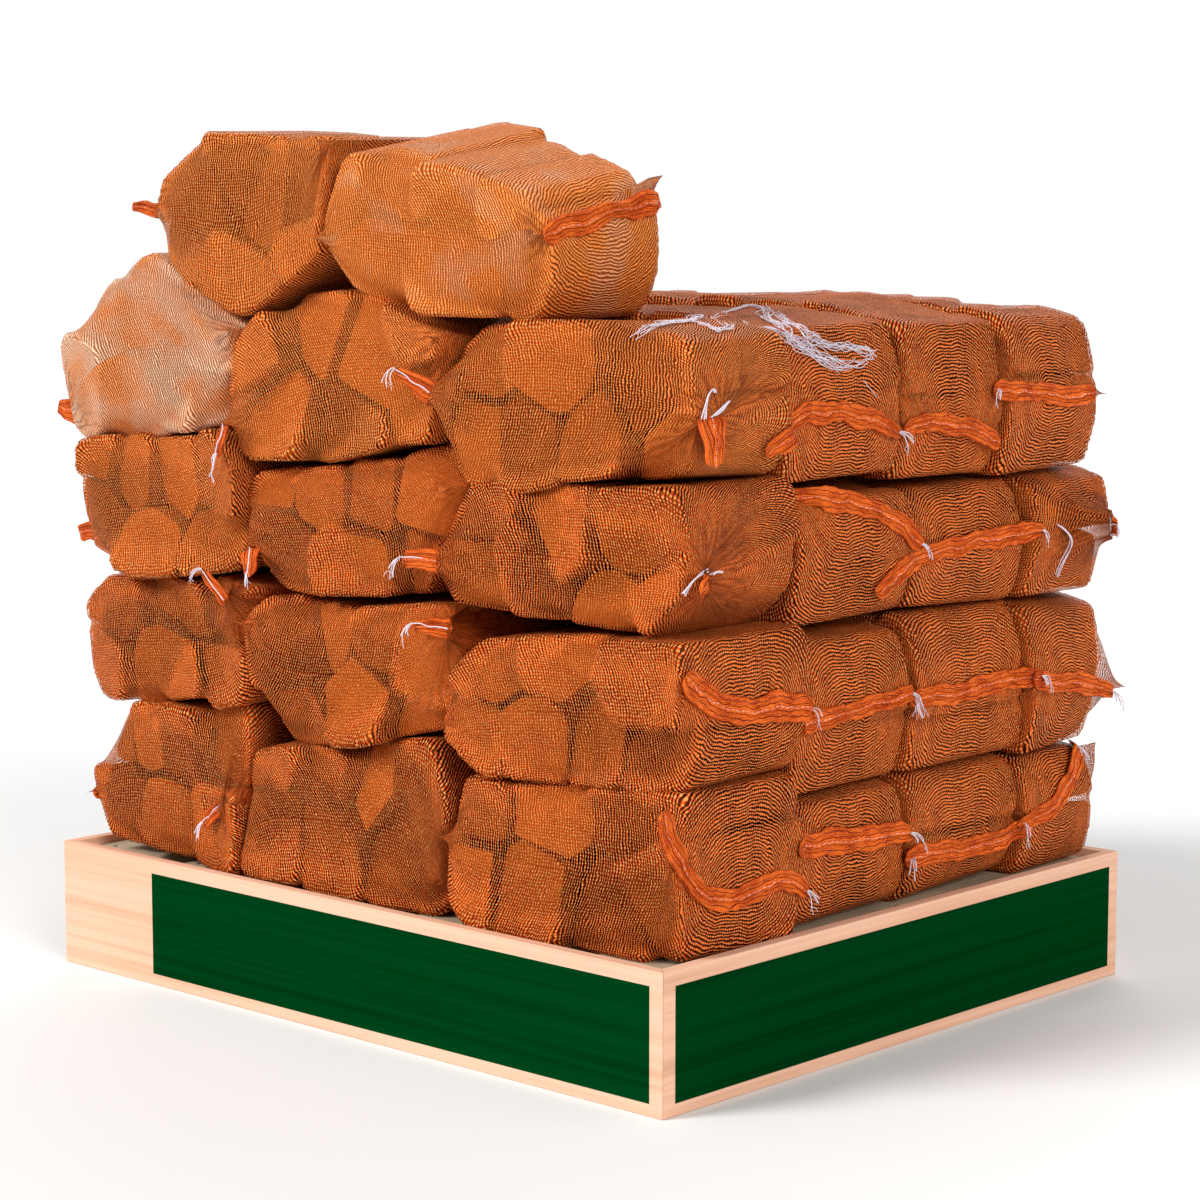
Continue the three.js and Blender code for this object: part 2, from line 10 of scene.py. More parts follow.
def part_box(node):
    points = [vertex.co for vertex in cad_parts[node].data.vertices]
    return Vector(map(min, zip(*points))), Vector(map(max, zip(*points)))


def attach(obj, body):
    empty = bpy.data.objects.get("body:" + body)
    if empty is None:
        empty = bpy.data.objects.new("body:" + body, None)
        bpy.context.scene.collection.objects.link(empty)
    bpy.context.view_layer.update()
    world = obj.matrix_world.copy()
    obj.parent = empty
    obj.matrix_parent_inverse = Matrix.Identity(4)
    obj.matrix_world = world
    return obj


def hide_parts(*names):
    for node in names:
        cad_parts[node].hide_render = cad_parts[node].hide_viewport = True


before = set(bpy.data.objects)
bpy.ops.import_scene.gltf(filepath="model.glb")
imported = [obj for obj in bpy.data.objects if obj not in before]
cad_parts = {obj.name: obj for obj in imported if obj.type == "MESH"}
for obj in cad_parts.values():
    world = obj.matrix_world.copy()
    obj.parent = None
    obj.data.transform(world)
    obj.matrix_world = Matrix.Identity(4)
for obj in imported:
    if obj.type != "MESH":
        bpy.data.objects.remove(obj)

scene = bpy.context.scene
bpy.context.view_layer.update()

# The view, the floor and the light. A long lens stands over four metres from the near corner and
# looks slightly down. The floor is a plain pale disc, under a soft white sky and three broad lamps.
EYE = (2.99604, -3.19763, 1.08320)
LOOK = Vector((-0.67553, 0.72802, -0.11681))
LENS = 87.48
lens = bpy.data.cameras.new("camera")
lens.sensor_width = 36.0
lens.lens = LENS
camera = bpy.data.objects.new("camera", lens)
camera.location = EYE
camera.rotation_euler = LOOK.to_track_quat("-Z", "Y").to_euler()
scene.collection.objects.link(camera)
scene.camera = camera
scene.view_settings.view_transform = "Standard"

FLOOR_RADIUS = 30.0
floor_mesh = bpy.data.meshes.new("floor")
disc = bmesh.new()
bmesh.ops.create_circle(disc, cap_ends=True, radius=FLOOR_RADIUS, segments=96)
bmesh.ops.translate(disc, vec=(0, 0, -0.0005), verts=disc.verts)
disc.to_mesh(floor_mesh)
disc.free()
floor = bpy.data.objects.new("floor", floor_mesh)
floor_finish = bpy.data.materials.new("floor_white")
floor_finish.use_nodes = True
floor_paint = floor_finish.node_tree.nodes["Principled BSDF"]
floor_paint.inputs["Base Color"].default_value = (0.88, 0.88, 0.87, 1)
floor_paint.inputs["Roughness"].default_value = 0.9
floor_mesh.materials.append(floor_finish)
scene.collection.objects.link(floor)

SKY_SEEN = 1.0
SKY_LIGHT = 0.42
sky = bpy.data.worlds.new("studio")
sky.use_nodes = True
ways = sky.node_tree
backdrop = ways.nodes["Background"]
backdrop.inputs["Color"].default_value = (1, 1, 1, 1)
path = ways.nodes.new("ShaderNodeLightPath")
level = ways.nodes.new("ShaderNodeMapRange")
level.inputs["To Min"].default_value = SKY_LIGHT
level.inputs["To Max"].default_value = SKY_SEEN
ways.links.new(path.outputs["Is Camera Ray"], level.inputs["Value"])
ways.links.new(level.outputs["Result"], backdrop.inputs["Strength"])
scene.world = sky


def studio_lamp(name, place, power, softness):
    """A broad lamp far off, shining from a place to the middle of the floor."""
    light = bpy.data.lights.new(name, "SUN")
    light.energy = power
    light.angle = math.radians(softness)
    lamp = bpy.data.objects.new(name, light)
    lamp.rotation_euler = (-Vector(place)).to_track_quat("-Z", "Y").to_euler()
    scene.collection.objects.link(lamp)


studio_lamp("key_light", (-0.5, -1.0, 0.8), 2.55, 22)
studio_lamp("side_light", (1.0, -0.3, 0.5), 1.6, 30)
studio_lamp("back_light", (-0.6, 1.0, 0.9), 0.8, 45)


# The pallet: deck boards across three stringers, nine blocks and three bottom boards. All is
# sawn softwood, weathered grey-brown, held together by nails through the deck.
class Tone:
    """A socket in a material. Operators on it add Math nodes, and node() adds any other kind."""

    def __init__(self, tree, socket=None):
        self.tree = tree
        self.socket = socket

    def node(self, kind, settings=None, sockets=None, out=0):
        made = self.tree.nodes.new("ShaderNode" + kind)
        for name, value in (settings or {}).items():
            setattr(made, name, value)
        for name, value in (sockets or {}).items():
            if isinstance(value, Tone):
                self.tree.links.new(value.socket, made.inputs[name])
            else:
                made.inputs[name].default_value = value
        return Tone(self.tree, made.outputs[out])

    def math(self, operation, *values):
        return self.node("Math", {"operation": operation}, dict(enumerate(values)))

    def __add__(self, other):
        return self.math("ADD", self, other)

    def __sub__(self, other):
        return self.math("SUBTRACT", self, other)

    def __mul__(self, other):
        return self.math("MULTIPLY", self, other)

    def __radd__(self, other):
        return self.math("ADD", other, self)

    def __rsub__(self, other):
        return self.math("SUBTRACT", other, self)

    def __rmul__(self, other):
        return self.math("MULTIPLY", other, self)

    def most(self, other):
        return self.math("MAXIMUM", self, other)

    def least(self, other):
        return self.math("MINIMUM", self, other)

    def size(self):
        return self.math("ABSOLUTE", self)

    def wave(self, scale):
        return self.math("PINGPONG", self, scale)

    def step(self, low, high):
        return self.node("MapRange", {"interpolation_type": "SMOOTHSTEP"},
                         {"Value": self, "From Min": low, "From Max": high})

    def blend(self, low, high):
        return self.node("Mix", {"data_type": "RGBA"}, {0: self, 6: low, 7: high}, 2)

    def stretch(self, scale):
        return self.node("Mapping", None, {"Vector": self, "Scale": scale})

    def cloud(self, scale, detail=2.0, rough=0.5):
        return self.node("TexNoise", None,
                         {"Vector": self, "Scale": scale, "Detail": detail, "Roughness": rough})

    def relief(self, strength, distance):
        return self.node("Bump", None,
                         {"Height": self, "Strength": strength, "Distance": distance})


def start_finish(name):
    """A new material: its tones, and a function that sets or links its shader's sockets."""
    material = bpy.data.materials.new(name)
    material.use_nodes = True
    tree = material.node_tree
    shader = tree.nodes["Principled BSDF"]

    def apply(values):
        for socket, value in values.items():
            if isinstance(value, Tone):
                tree.links.new(value.socket, shader.inputs[socket])
            else:
                shader.inputs[socket].default_value = value
        return material

    return Tone(tree), apply


def paint(code):
    """Linear colour of a six-figure sRGB code."""
    parts = [int(code[i:i + 2], 16) / 255 for i in (0, 2, 4)]
    return (*[p / 12.92 if p < 0.04045 else ((p + 0.055) / 1.055) ** 2.4 for p in parts], 1)


def weathered_wood(name, axis):
    """Old sawn wood, with its grain along X (0) or Y (1)."""
    tones, apply = start_finish(name)
    place = tones.node("TexCoord", out="Object")
    shade = tones.node("Attribute", {"attribute_name": "shade"}, out="Fac")
    across = [90.0, 90.0, 90.0]
    across[axis] = 3.0
    grain = place.stretch(across).cloud(1.0, 5.0, 0.6)
    stain = place.cloud(9.0, 3.0)
    tone = (grain * 0.6 + stain * 0.35 + shade * 0.35).step(0.3, 0.95)
    crack = grain.step(0.30, 0.36)
    colour = crack.blend(paint("4a3d31"), tone.blend(paint("7d6a55"), paint("c2ad90")))
    return apply({"Base Color": colour, "Roughness": 0.85,
                  "Specular IOR Level": 0.25, "Normal": grain.relief(0.6, 0.0012)})


def add_piece(name, shape, finishes, nodes=()):
    """Makes a piece of a shape, rides it on the pallet and lets it stand for CAD nodes."""
    mesh = bpy.data.meshes.new(name)
    shape.to_mesh(mesh)
    shape.free()
    return place_mesh(name, mesh, finishes, nodes)


def place_mesh(name, mesh, finishes, nodes=()):
    piece = bpy.data.objects.new(name, mesh)
    for finish in finishes:
        mesh.materials.append(finish)
    scene.collection.objects.link(piece)
    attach(piece, "root")
    if nodes:
        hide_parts(*nodes)
    return piece


def draw(a, b=0, c=0, d=0):
    """A fraction from 0 to 1 that looks random and is the same each time for the same keys."""
    wave = math.sin(a * 12.9898 + b * 78.233 + c * 37.719 + d * 9.131 + 4.7) * 43758.5453
    return wave - math.floor(wave)


PALLET_LENGTH = 1.2
PALLET_WIDTH = 1.0
BOARD_WIDTH = 0.145
RUNNER_THICKNESS = 0.025
BLOCK_HEIGHT = 0.1
STRINGER_THICKNESS = 0.025
DECK_THICKNESS = 0.028
INNER_WIDTH = 0.11
INNER_COUNT = 5
NAIL_RADIUS = 0.0042
stringer_low = RUNNER_THICKNESS + BLOCK_HEIGHT
deck_low = stringer_low + STRINGER_THICKNESS
deck_top = deck_low + DECK_THICKNESS


def sawn_board(shape, middle, size, key):
    """A sawn board with eased edges, slightly uneven along its length."""
    before = set(shape.verts)
    shade = shape.verts.layers.float.get("shade") or shape.verts.layers.float.new("shade")
    made = bmesh.ops.create_cube(shape, size=1.0)["verts"]
    bmesh.ops.scale(shape, vec=size, verts=made)
    bmesh.ops.translate(shape, vec=middle, verts=made)
    edges = {edge for vert in made for edge in vert.link_edges}
    bmesh.ops.bevel(shape, geom=list(edges), affect="EDGES", offset=0.002, segments=2,
                    profile=0.5, material=-1)
    longest = max(size) * 0.8
    runs = [e for v in set(shape.verts) - before for e in v.link_edges
            if e.calc_length() > longest]
    bmesh.ops.subdivide_edges(shape, edges=list(set(runs)), cuts=14)
    for vert in set(shape.verts) - before:
        vert[shade] = draw(key, 1)
        bend = noise.noise_vector(vert.co * 14 + Vector((key, 0, 0)))
        vert.co += Vector((bend.x, bend.y, bend.z * 0.5)) * 0.0008


def pallet_boards(name, boards, finish, nodes):
    shape = bmesh.new()
    for key, (middle, size) in enumerate(boards):
        sawn_board(shape, middle, size, key + len(name))
    return add_piece(name, shape, [finish], nodes)


wood_along = weathered_wood("weathered_wood_along", 0)
wood_across = weathered_wood("weathered_wood_across", 1)
side_lines = [side * (PALLET_WIDTH - BOARD_WIDTH) / 2 for side in (-1, 0, 1)]
block_lines = [side * (PALLET_LENGTH - BOARD_WIDTH) / 2 for side in (-1, 0, 1)]
room = PALLET_LENGTH - 2 * BOARD_WIDTH - INNER_COUNT * INNER_WIDTH
pitch = INNER_WIDTH + room / (INNER_COUNT + 1)
deck_lines = [(x, BOARD_WIDTH) for x in (block_lines[0], block_lines[2])]
deck_lines += [((i - (INNER_COUNT - 1) / 2) * pitch, INNER_WIDTH) for i in range(INNER_COUNT)]
runners = ["pallet_runner_front", "pallet_runner_centre", "pallet_runner_back"]
MARGIN = 0.0012

pallet_boards("pallet_deck_boards",
              [((x, 0, deck_low + DECK_THICKNESS / 2),
                (width, PALLET_WIDTH - MARGIN, DECK_THICKNESS)) for x, width in deck_lines],
              wood_across, ["pallet_deck"])
pallet_boards("pallet_stringer_boards",
              [((0, y, stringer_low + STRINGER_THICKNESS / 2),
                (PALLET_LENGTH - MARGIN, BOARD_WIDTH, STRINGER_THICKNESS)) for y in side_lines],
              wood_along, ["pallet_deck"])
pallet_boards("pallet_bottom_boards",
              [((0, y, RUNNER_THICKNESS / 2),
                (PALLET_LENGTH - MARGIN, BOARD_WIDTH, RUNNER_THICKNESS)) for y in side_lines],
              wood_along, runners)
pallet_boards("pallet_blocks",
              [((x, y, RUNNER_THICKNESS + BLOCK_HEIGHT / 2),
                (BOARD_WIDTH - MARGIN, BOARD_WIDTH, BLOCK_HEIGHT))
               for x in block_lines for y in side_lines],
              wood_across, runners)

tones, apply = start_finish("nail_steel")
rust = tones.node("TexCoord", out="Object").cloud(400.0, 3.0)
nail_steel = apply({"Base Color": rust.step(0.4, 0.65).blend(paint("6e6a64"), paint("5a3a26")),
                    "Metallic": 0.8, "Roughness": rust * 0.4 + 0.35})
shape = bmesh.new()
for x, width in deck_lines:
    for row, y in enumerate(side_lines):
        for side in (-1, 1):
            head = bmesh.ops.create_cone(shape, cap_ends=True, segments=10, radius1=NAIL_RADIUS,
                                         radius2=NAIL_RADIUS * 0.8, depth=0.0012)["verts"]
            stray = 0.01 * (draw(x, y, side) - 0.5)
            bmesh.ops.translate(shape, vec=(x + side * width * 0.3, y + side * 0.03 + stray,
                                            deck_top + 0.0004), verts=head)
add_piece("pallet_nails", shape, [nail_steel])

# The skirt: four planed boards of pale wood with mitred corners, held round the pallet. The
# faces carry a painted green panel inside a bare wood border.
PANEL_END = 0.023
PANEL_LOW = 0.0165
PANEL_HIGH = 0.0205
BARE_SQUARE = 0.2145
skirt_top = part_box("skirt_board_front")[1].z


def planed_wood(name, axis, length, bare):
    """Pale planed wood, with its grain along an axis, and the painted panel of one face."""
    tones, apply = start_finish(name)
    place = tones.node("TexCoord", out="Object")
    across = [130.0, 130.0, 130.0]
    across[axis] = 1.6
    grain = place.stretch(across).cloud(1.0, 4.0, 0.6)
    streak = place.stretch([s * 0.33 for s in across]).cloud(1.0, 2.0, 0.45)
    stain = place.cloud(3.0, 2.0)
    tone = (grain * 0.5 + streak * 0.45 + stain * 0.2).step(0.42, 0.9)
    wood = tone.blend(paint("eec0a4"), paint("d49a7a"))
    wood = (streak.step(0.60, 0.72) * 0.3).blend(wood, paint("c99b7c"))
    face = tones.node("UVMap", {"uv_map": "face"})
    spot = face.node("SeparateXYZ", None, {0: face})
    up = Tone(spot.tree, spot.socket.node.outputs[1])
    soft = 0.0005
    inside = (spot.step(PANEL_END + bare - soft, PANEL_END + bare + soft)
              * (1 - spot.step(length - PANEL_END - soft, length - PANEL_END + soft))
              * up.step(PANEL_LOW - soft, PANEL_LOW + soft)
              * (1 - up.step(skirt_top - PANEL_HIGH - soft, skirt_top - PANEL_HIGH + soft)))
    dye = (grain * 0.6 + streak * 0.4).step(0.35, 0.75)
    green = dye.blend(paint("003a16"), paint("002c0e"))
    return apply({"Base Color": inside.blend(wood, green),
                  "Roughness": 0.6 + grain * 0.1,
                  "Specular IOR Level": 0.0, "Normal": grain.relief(0.15, 0.0004)})


def skirt_board(side, axis, outward, bare):
    """One board with eased edges. Its outer face gets a UV map in metres from its lower left."""
    node = "skirt_board_" + side
    shape = bmesh.new()
    shape.from_mesh(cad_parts[node].data)
    bmesh.ops.remove_doubles(shape, verts=shape.verts, dist=1e-5)
    bmesh.ops.dissolve_limit(shape, angle_limit=0.02, verts=shape.verts, edges=shape.edges)
    bmesh.ops.bevel(shape, geom=shape.edges[:], affect="EDGES", offset=0.0011, segments=3,
                    profile=0.5, material=-1)
    low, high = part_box(node)
    face_map = shape.loops.layers.uv.new("face")
    right_hand = Vector((0, 0, 1)).cross(outward)
    start = min(right_hand.dot(low), right_hand.dot(high))
    for face in shape.faces:
        face.smooth = False
        shows = face.normal.dot(outward) > 0.9
        for loop in face.loops:
            spot = loop.vert.co
            loop[face_map].uv = (right_hand.dot(spot) - start, spot.z) if shows else (-1, -1)
    length = abs(right_hand.dot(high - low))
    finish = planed_wood("planed_wood_" + side, axis, length, bare)
    for face in shape.faces:
        face.normal_update()
    add_piece("skirt_" + side, shape, [finish], [node])


skirt_board("front", 0, Vector((0, -1, 0)), BARE_SQUARE - PANEL_END)
skirt_board("right", 1, Vector((1, 0, 0)), 0.0)
skirt_board("back", 0, Vector((0, 1, 0)), BARE_SQUARE - PANEL_END)
skirt_board("left", 1, Vector((-1, 0, 0)), 0.0)

# The logs: split oak, seven to a sack, laid side by side with their sawn ends to the front and
# back. Each is a wedge of a trunk, with a sawn end at either side, split faces and some bark.
ROW_LINES = [
    [-0.478, -0.225, 0.029, 0.297, 0.485],
    [-0.478, -0.225, 0.029, 0.297, 0.504],
    [-0.478, -0.238, 0.033, 0.302, 0.506],
    [-0.478, -0.264, 0.002, 0.238, 0.478],
    [-0.484, -0.256],
]
ROW_GAP = 0.006
RIM_DEPTH = 0.022
END_OUT = 0.012
END_SPREAD = 0.040
END_SLOPE = 0.3
END_ROUND = [(0.0, 0.0050), (0.0008, 0.0024), (0.0026, 0.0007), (0.0055, 0.0)]
STATIONS = [-0.6, -0.3, 0, 0.3, 0.6]
TIER_COUNTS = [[4, 3], [3, 4]]
LOG_STRAY = {"across": 0.3, "up": 0.28}
TOP_RISE = {"top_left": 0.010, "top_right": 0.042}
LAYERS = range(4)
ROWS = range(4)
COLUMNS = ["left", "middle", "right"]
NET_SINK = 0.003
SACK_SWELL = 0.006
LOG_GAP = 0.003
LOG_TAPER = 0.05
LOG_SHIFT = 0.004
RIM_RETREAT = 0.005
CORNER_CUT = 0.030
RIM_CORNER_CUT = 0.010
CORNER_ROUND = 0.0035
HIDDEN_RETREAT = 0.012
HIDDEN_PRESS = 0.001
FACET_TILT = 0.17


def centroid(polygon):
    area = x = z = 0
    for i, (px, pz) in enumerate(polygon):
        qx, qz = polygon[(i + 1) % len(polygon)]
        cross = px * qz - qx * pz
        area += cross
        x += (px + qx) * cross
        z += (pz + qz) * cross
    return x / (3 * area), z / (3 * area)


def cut(polygon, normal, limit):
    """Keeps the side of a convex polygon where normal . point is at most limit."""
    kept = []
    for i, (px, pz) in enumerate(polygon):
        qx, qz = polygon[(i + 1) % len(polygon)]
        here = normal[0] * px + normal[1] * pz - limit
        there = normal[0] * qx + normal[1] * qz - limit
        if here <= 0:
            kept.append((px, pz))
        if here * there < 0:
            share = here / (here - there)
            kept.append((px + (qx - px) * share, pz + (qz - pz) * share))
    return kept


def log_cells(outline, key):
    """Parts a sack's outline among its logs, by the lines halfway between their middles."""
    xs = [x for x, _ in outline]
    zs = [z for _, z in outline]
    counts = TIER_COUNTS[0 if draw(key, 3) < 0.5 else 1]
    seeds = []
    for tier, count in enumerate(counts):
        for i in range(count):
            aside = (2 * draw(key, tier, i, 4) - 1) * LOG_STRAY["across"]
            above = (2 * draw(key, tier, i, 5) - 1) * LOG_STRAY["up"]
            seeds.append((min(xs) + (max(xs) - min(xs)) * (i + 0.5 + aside) / count,
                          min(zs) + (max(zs) - min(zs)) * (tier + 0.5 + above) / len(counts)))
    cells = []
    for i, (sx, sz) in enumerate(seeds):
        cell = outline
        for j, (ox, oz) in enumerate(seeds):
            if i != j and len(cell) > 2:
                normal = (ox - sx, oz - sz)
                cell = cut(cell, normal, normal[0] * (ox + sx) / 2 + normal[1] * (oz + sz) / 2)
        if len(cell) > 2:
            cells.append(cell)
    return cells


def edge_normals(polygon):
    """Outward unit normals of a convex anticlockwise polygon."""
    normals = []
    for (px, pz), (qx, qz) in zip(polygon, polygon[1:] + polygon[:1]):
        length = math.hypot(qx - px, qz - pz)
        normals.append(((qz - pz) / length, (px - qx) / length))
    return normals


def swollen(polygon, margin):
    """A convex polygon with every edge moved outward, so that the sacks press on each other."""
    grown = [(-2, -2), (2, -2), (2, 2), (-2, 2)]
    for (x, z), n in zip(polygon, edge_normals(polygon)):
        grown = cut(grown, n, n[0] * x + n[1] * z + margin)
    return grown


class Sack:
    """Where one sack lies: its outline seen from the front, and its reach along Y."""

    def __init__(self, name, row, column, layer):
        self.name, self.row, self.column, self.layer = name, row, column, layer
        self.key = 1 + row * 31 + column * 7 + layer * 3
        self.node = "log_sack_" + name
        self.front_shows = row == 0
        self.back_shows = row == ROWS[-1] or layer == len(LAYERS)
        self.front = ROW_LINES[layer][row] + (ROW_GAP / 2 if row else 0)
        self.back = ROW_LINES[layer][row + 1] - (0 if self.back_shows else ROW_GAP / 2)
        self.rise = TOP_RISE.get(name, 0)
        self.hidden = column == 1 and row in (1, 2) and layer < 3
        self.outline = self.read_outline()

    def read_outline(self):
        """The corners of the CAD solid on one of its flat rings, put level."""
        station = self.back if not self.back_shows else self.front
        if self.front_shows and self.back_shows:
            station = self.back - RIM_DEPTH
        ring = {(round(v.co.x, 5), round(v.co.z, 5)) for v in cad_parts[self.node].data.vertices
                if abs(v.co.y - station) < 3e-5}
        ring = [Vector(p) for p in ring]
        outline = [tuple(ring[i]) for i in geometry.convex_hull_2d(ring)]
        low = min(z for _, z in outline)
        lift = self.rise * (station - self.front) / (self.back - self.front)
        self.low = low
        self.high = max(z for _, z in outline) - lift
        share = (self.high - low) / (self.high + lift - low)
        return swollen([(x, low + (z - low) * share) for x, z in outline], SACK_SWELL)

    def room(self, point):
        """How far a point lies inside the outline."""
        return min(n[0] * (x - point[0]) + n[1] * (z - point[1])
                   for (x, z), n in zip(self.outline, edge_normals(self.outline)))

    def raised(self, points):
        """Tilts points that were placed level: the back edge of a top sack lies higher."""
        lift = self.rise * (points[..., 1] - self.front) / (self.back - self.front)
        points[..., 2] += lift * (points[..., 2] - self.low) / (self.high - self.low)
        return points

    def end_x(self, z, direction):
        """How far the outline reaches in +X or -X at a height."""
        best = -9.0
        for i, (x0, z0) in enumerate(self.outline):
            x1, z1 = self.outline[(i + 1) % len(self.outline)]
            if (z0 - z) * (z1 - z) <= 0 and z0 != z1:
                best = max(best, direction * (x0 + (x1 - x0) * (z - z0) / (z1 - z0)))
        return direction * best


class Log:
    """One split log: a section that shifts and shrinks a little along Y, and two sawn ends."""

    def __init__(self, sack, cell, index):
        self.key = sack.key * 10 + index
        self.centre = centroid(cell)
        self.middle = (sack.front + sack.back) / 2
        self.half = (sack.back - sack.front) / 2
        self.taper = LOG_TAPER * (2 * draw(self.key, 23) - 1)
        self.shift = [LOG_SHIFT * (2 * draw(self.key, k) - 1) for k in (24, 25)]
        self.retreat = NET_SINK + RIM_RETREAT * draw(self.key, 21)
        section = cell
        for p, q, n in zip(cell, cell[1:] + cell[:1], edge_normals(cell)):
            inset = LOG_GAP
            if sack.room(((p[0] + q[0]) / 2, (p[1] + q[1]) / 2)) < 1e-4:
                turn = FACET_TILT * (2 * draw(self.key, math.dist(p, q), 28) - 1)
                n = (n[0] * math.cos(turn) - n[1] * math.sin(turn),
                     n[0] * math.sin(turn) + n[1] * math.cos(turn))
                inset = self.retreat
            limit = max(n[0] * x + n[1] * z for x, z in (p, q))
            section = cut(section, n, limit - inset)
        self.section = self.eased(section, sack)
        self.ends = [self.sawn_end(sack, index, *side) for side in (
            (-1, sack.front, sack.front_shows), (1, sack.back, sack.back_shows))]
        self.planes = []
        self.exposed = []
        for p, q in zip(self.section, self.section[1:] + self.section[:1]):
            near, beside, far = self.at(*p, -1), self.at(*q, -1), self.at(*p, 1)
            normal = (far - near).cross(beside - near).normalized()
            self.planes.append((*normal, normal.dot(near)))
            middle = ((p[0] + q[0]) / 2, (p[1] + q[1]) / 2)
            self.exposed.append(sack.room(middle) < self.retreat + 0.014)
        for side, y, slope in self.ends:
            normal = Vector((-slope[0], side, -slope[1])).normalized()
            self.planes.append((*normal, normal.dot(Vector((self.centre[0], y, self.centre[1])))))
            self.exposed.append(True)

    def eased(self, section, sack):
        """Cuts the corners of the section: some logs are sharply split, others nearly round."""
        normals = edge_normals(section)
        roundness = draw(self.key, 27) ** 2
        for i, corner in enumerate(section):
            before, after = Vector(normals[i - 1]), Vector(normals[i])
            way = (before + after).normalized()
            leg = CORNER_CUT * (0.12 + 0.88 * roundness) * (0.5 + 0.5 * draw(self.key, i, 26))
            if sack.room(corner) < self.retreat + 0.006:
                leg = min(leg, RIM_CORNER_CUT)
            depth = leg * math.sqrt(max(0, 1 - way.dot(after) ** 2))
            section = cut(section, way, way.dot(Vector(corner)) - depth)
        return section

    def sawn_end(self, sack, index, side, edge, shows):
        """Which way the end looks, its place on Y at the log's middle, and its slope in X and Z."""
        if not shows:
            retreat = HIDDEN_RETREAT * draw(self.key, side, 22) - HIDDEN_PRESS
            return side, edge - side * retreat, (0.0, 0.0)
        out = END_OUT - END_SPREAD * draw(sack.key, index, side, 6) - NET_SINK
        slope = [(2 * draw(sack.key, index, side, k) - 1) * END_SLOPE for k in (7, 8)]
        return side, edge + side * out, slope

    def at(self, x, z, share):
        """Where a point of the section is at the front (-1), the middle (0) or the back (1)."""
        size = 1 + self.taper * share
        return Vector((self.centre[0] + (x - self.centre[0]) * size + self.shift[0] * share,
                       self.middle + self.half * share,
                       self.centre[1] + (z - self.centre[1]) * size + self.shift[1] * share))

    def end_point(self, end, x, z):
        side, y, slope = self.ends[end]
        spot = self.at(x, z, side)
        spot.y = y + side * (slope[0] * (spot.x - self.centre[0])
                             + slope[1] * (spot.z - self.centre[1]))
        return spot

    def rounded_section(self):
        """The section with two points for each of its corners, set a little way along its edges."""
        points = []
        for p, q in zip(self.section, self.section[1:] + self.section[:1]):
            step = min(0.3, CORNER_ROUND / math.dist(p, q))
            for share in (step, 1 - step):
                points.append((p[0] + (q[0] - p[0]) * share, p[1] + (q[1] - p[1]) * share))
        return points

    def rings(self):
        """The section at each station from end to end, drawn in at both ends to round them."""
        section = self.rounded_section()
        radius = sum(math.dist(p, self.centre) for p in section) / len(section)
        ends = []
        for end in (0, 1):
            side = self.ends[end][0]
            ends.append([])
            for depth, inset in END_ROUND:
                ring = []
                for x, z in section:
                    share = 1 - inset / radius
                    spot = self.end_point(end, self.centre[0] + (x - self.centre[0]) * share,
                                          self.centre[1] + (z - self.centre[1]) * share)
                    ring.append(spot - Vector((0, side * depth, 0)))
                ends[end].append(ring)
        middle = [[self.at(x, z, share) for x, z in section] for share in STATIONS]
        return ends[0] + middle + ends[1][::-1]

    def build(self, shape):
        """Extrudes the section from ring to ring, and marks its faces as sawn, split or bark."""
        pith = shape.verts.layers.float_vector["pith"]
        heart = shape.verts.layers.float_vector["heart"]
        corner = shape.verts.layers.int["corner"]
        rings = self.rings()
        own = [shape.verts.new(spot) for spot in rings[0]]
        for i, vert in enumerate(own):
            vert[corner] = i
        face = shape.faces.new(own)
        for ring in rings[1:]:
            made = bmesh.ops.extrude_face_region(shape, geom=[face])["geom"]
            fresh = [v for v in made if isinstance(v, bmesh.types.BMVert)]
            for vert in fresh:
                vert.co = ring[vert[corner]]
            face = next(f for f in made if isinstance(f, bmesh.types.BMFace)
                        and all(v in fresh for v in f.verts))
            own += fresh
        turn = draw(self.key, 31) * 2 * math.pi
        pith_at = Vector((self.centre[0] + 0.05 * math.cos(turn), 0,
                          self.centre[1] + 0.05 * math.sin(turn)))
        bark_way = draw(self.key, 32) * 2 * math.pi
        bark = Vector((math.cos(bark_way), 0, math.sin(bark_way)))
        shade = shape.verts.layers.float["shade"]
        for vert in own:
            vert[pith] = pith_at
            vert[heart] = (self.centre[0], self.middle, self.centre[1])
            vert[shade] = draw(self.key, 34)
            if abs(vert.co.y - self.middle) < self.half * 0.7:
                spot = Vector((vert.co.x * 30, vert.co.y * 9, vert.co.z * 30 + self.key))
                inward = Vector((self.centre[0] - vert.co.x, 0, self.centre[1] - vert.co.z))
                vert.co += inward.normalized() * 0.003 * (0.6 + 0.6 * noise.noise(spot))
        for face in {f for v in own for f in v.link_faces}:
            face.normal_update()
            face.smooth = True
            if abs(face.normal.y) > 0.7:
                face.material_index = 0
            elif draw(self.key, 33) < 0.45 and face.normal.dot(bark) > 0.55:
                face.material_index = 2
            else:
                face.material_index = 1


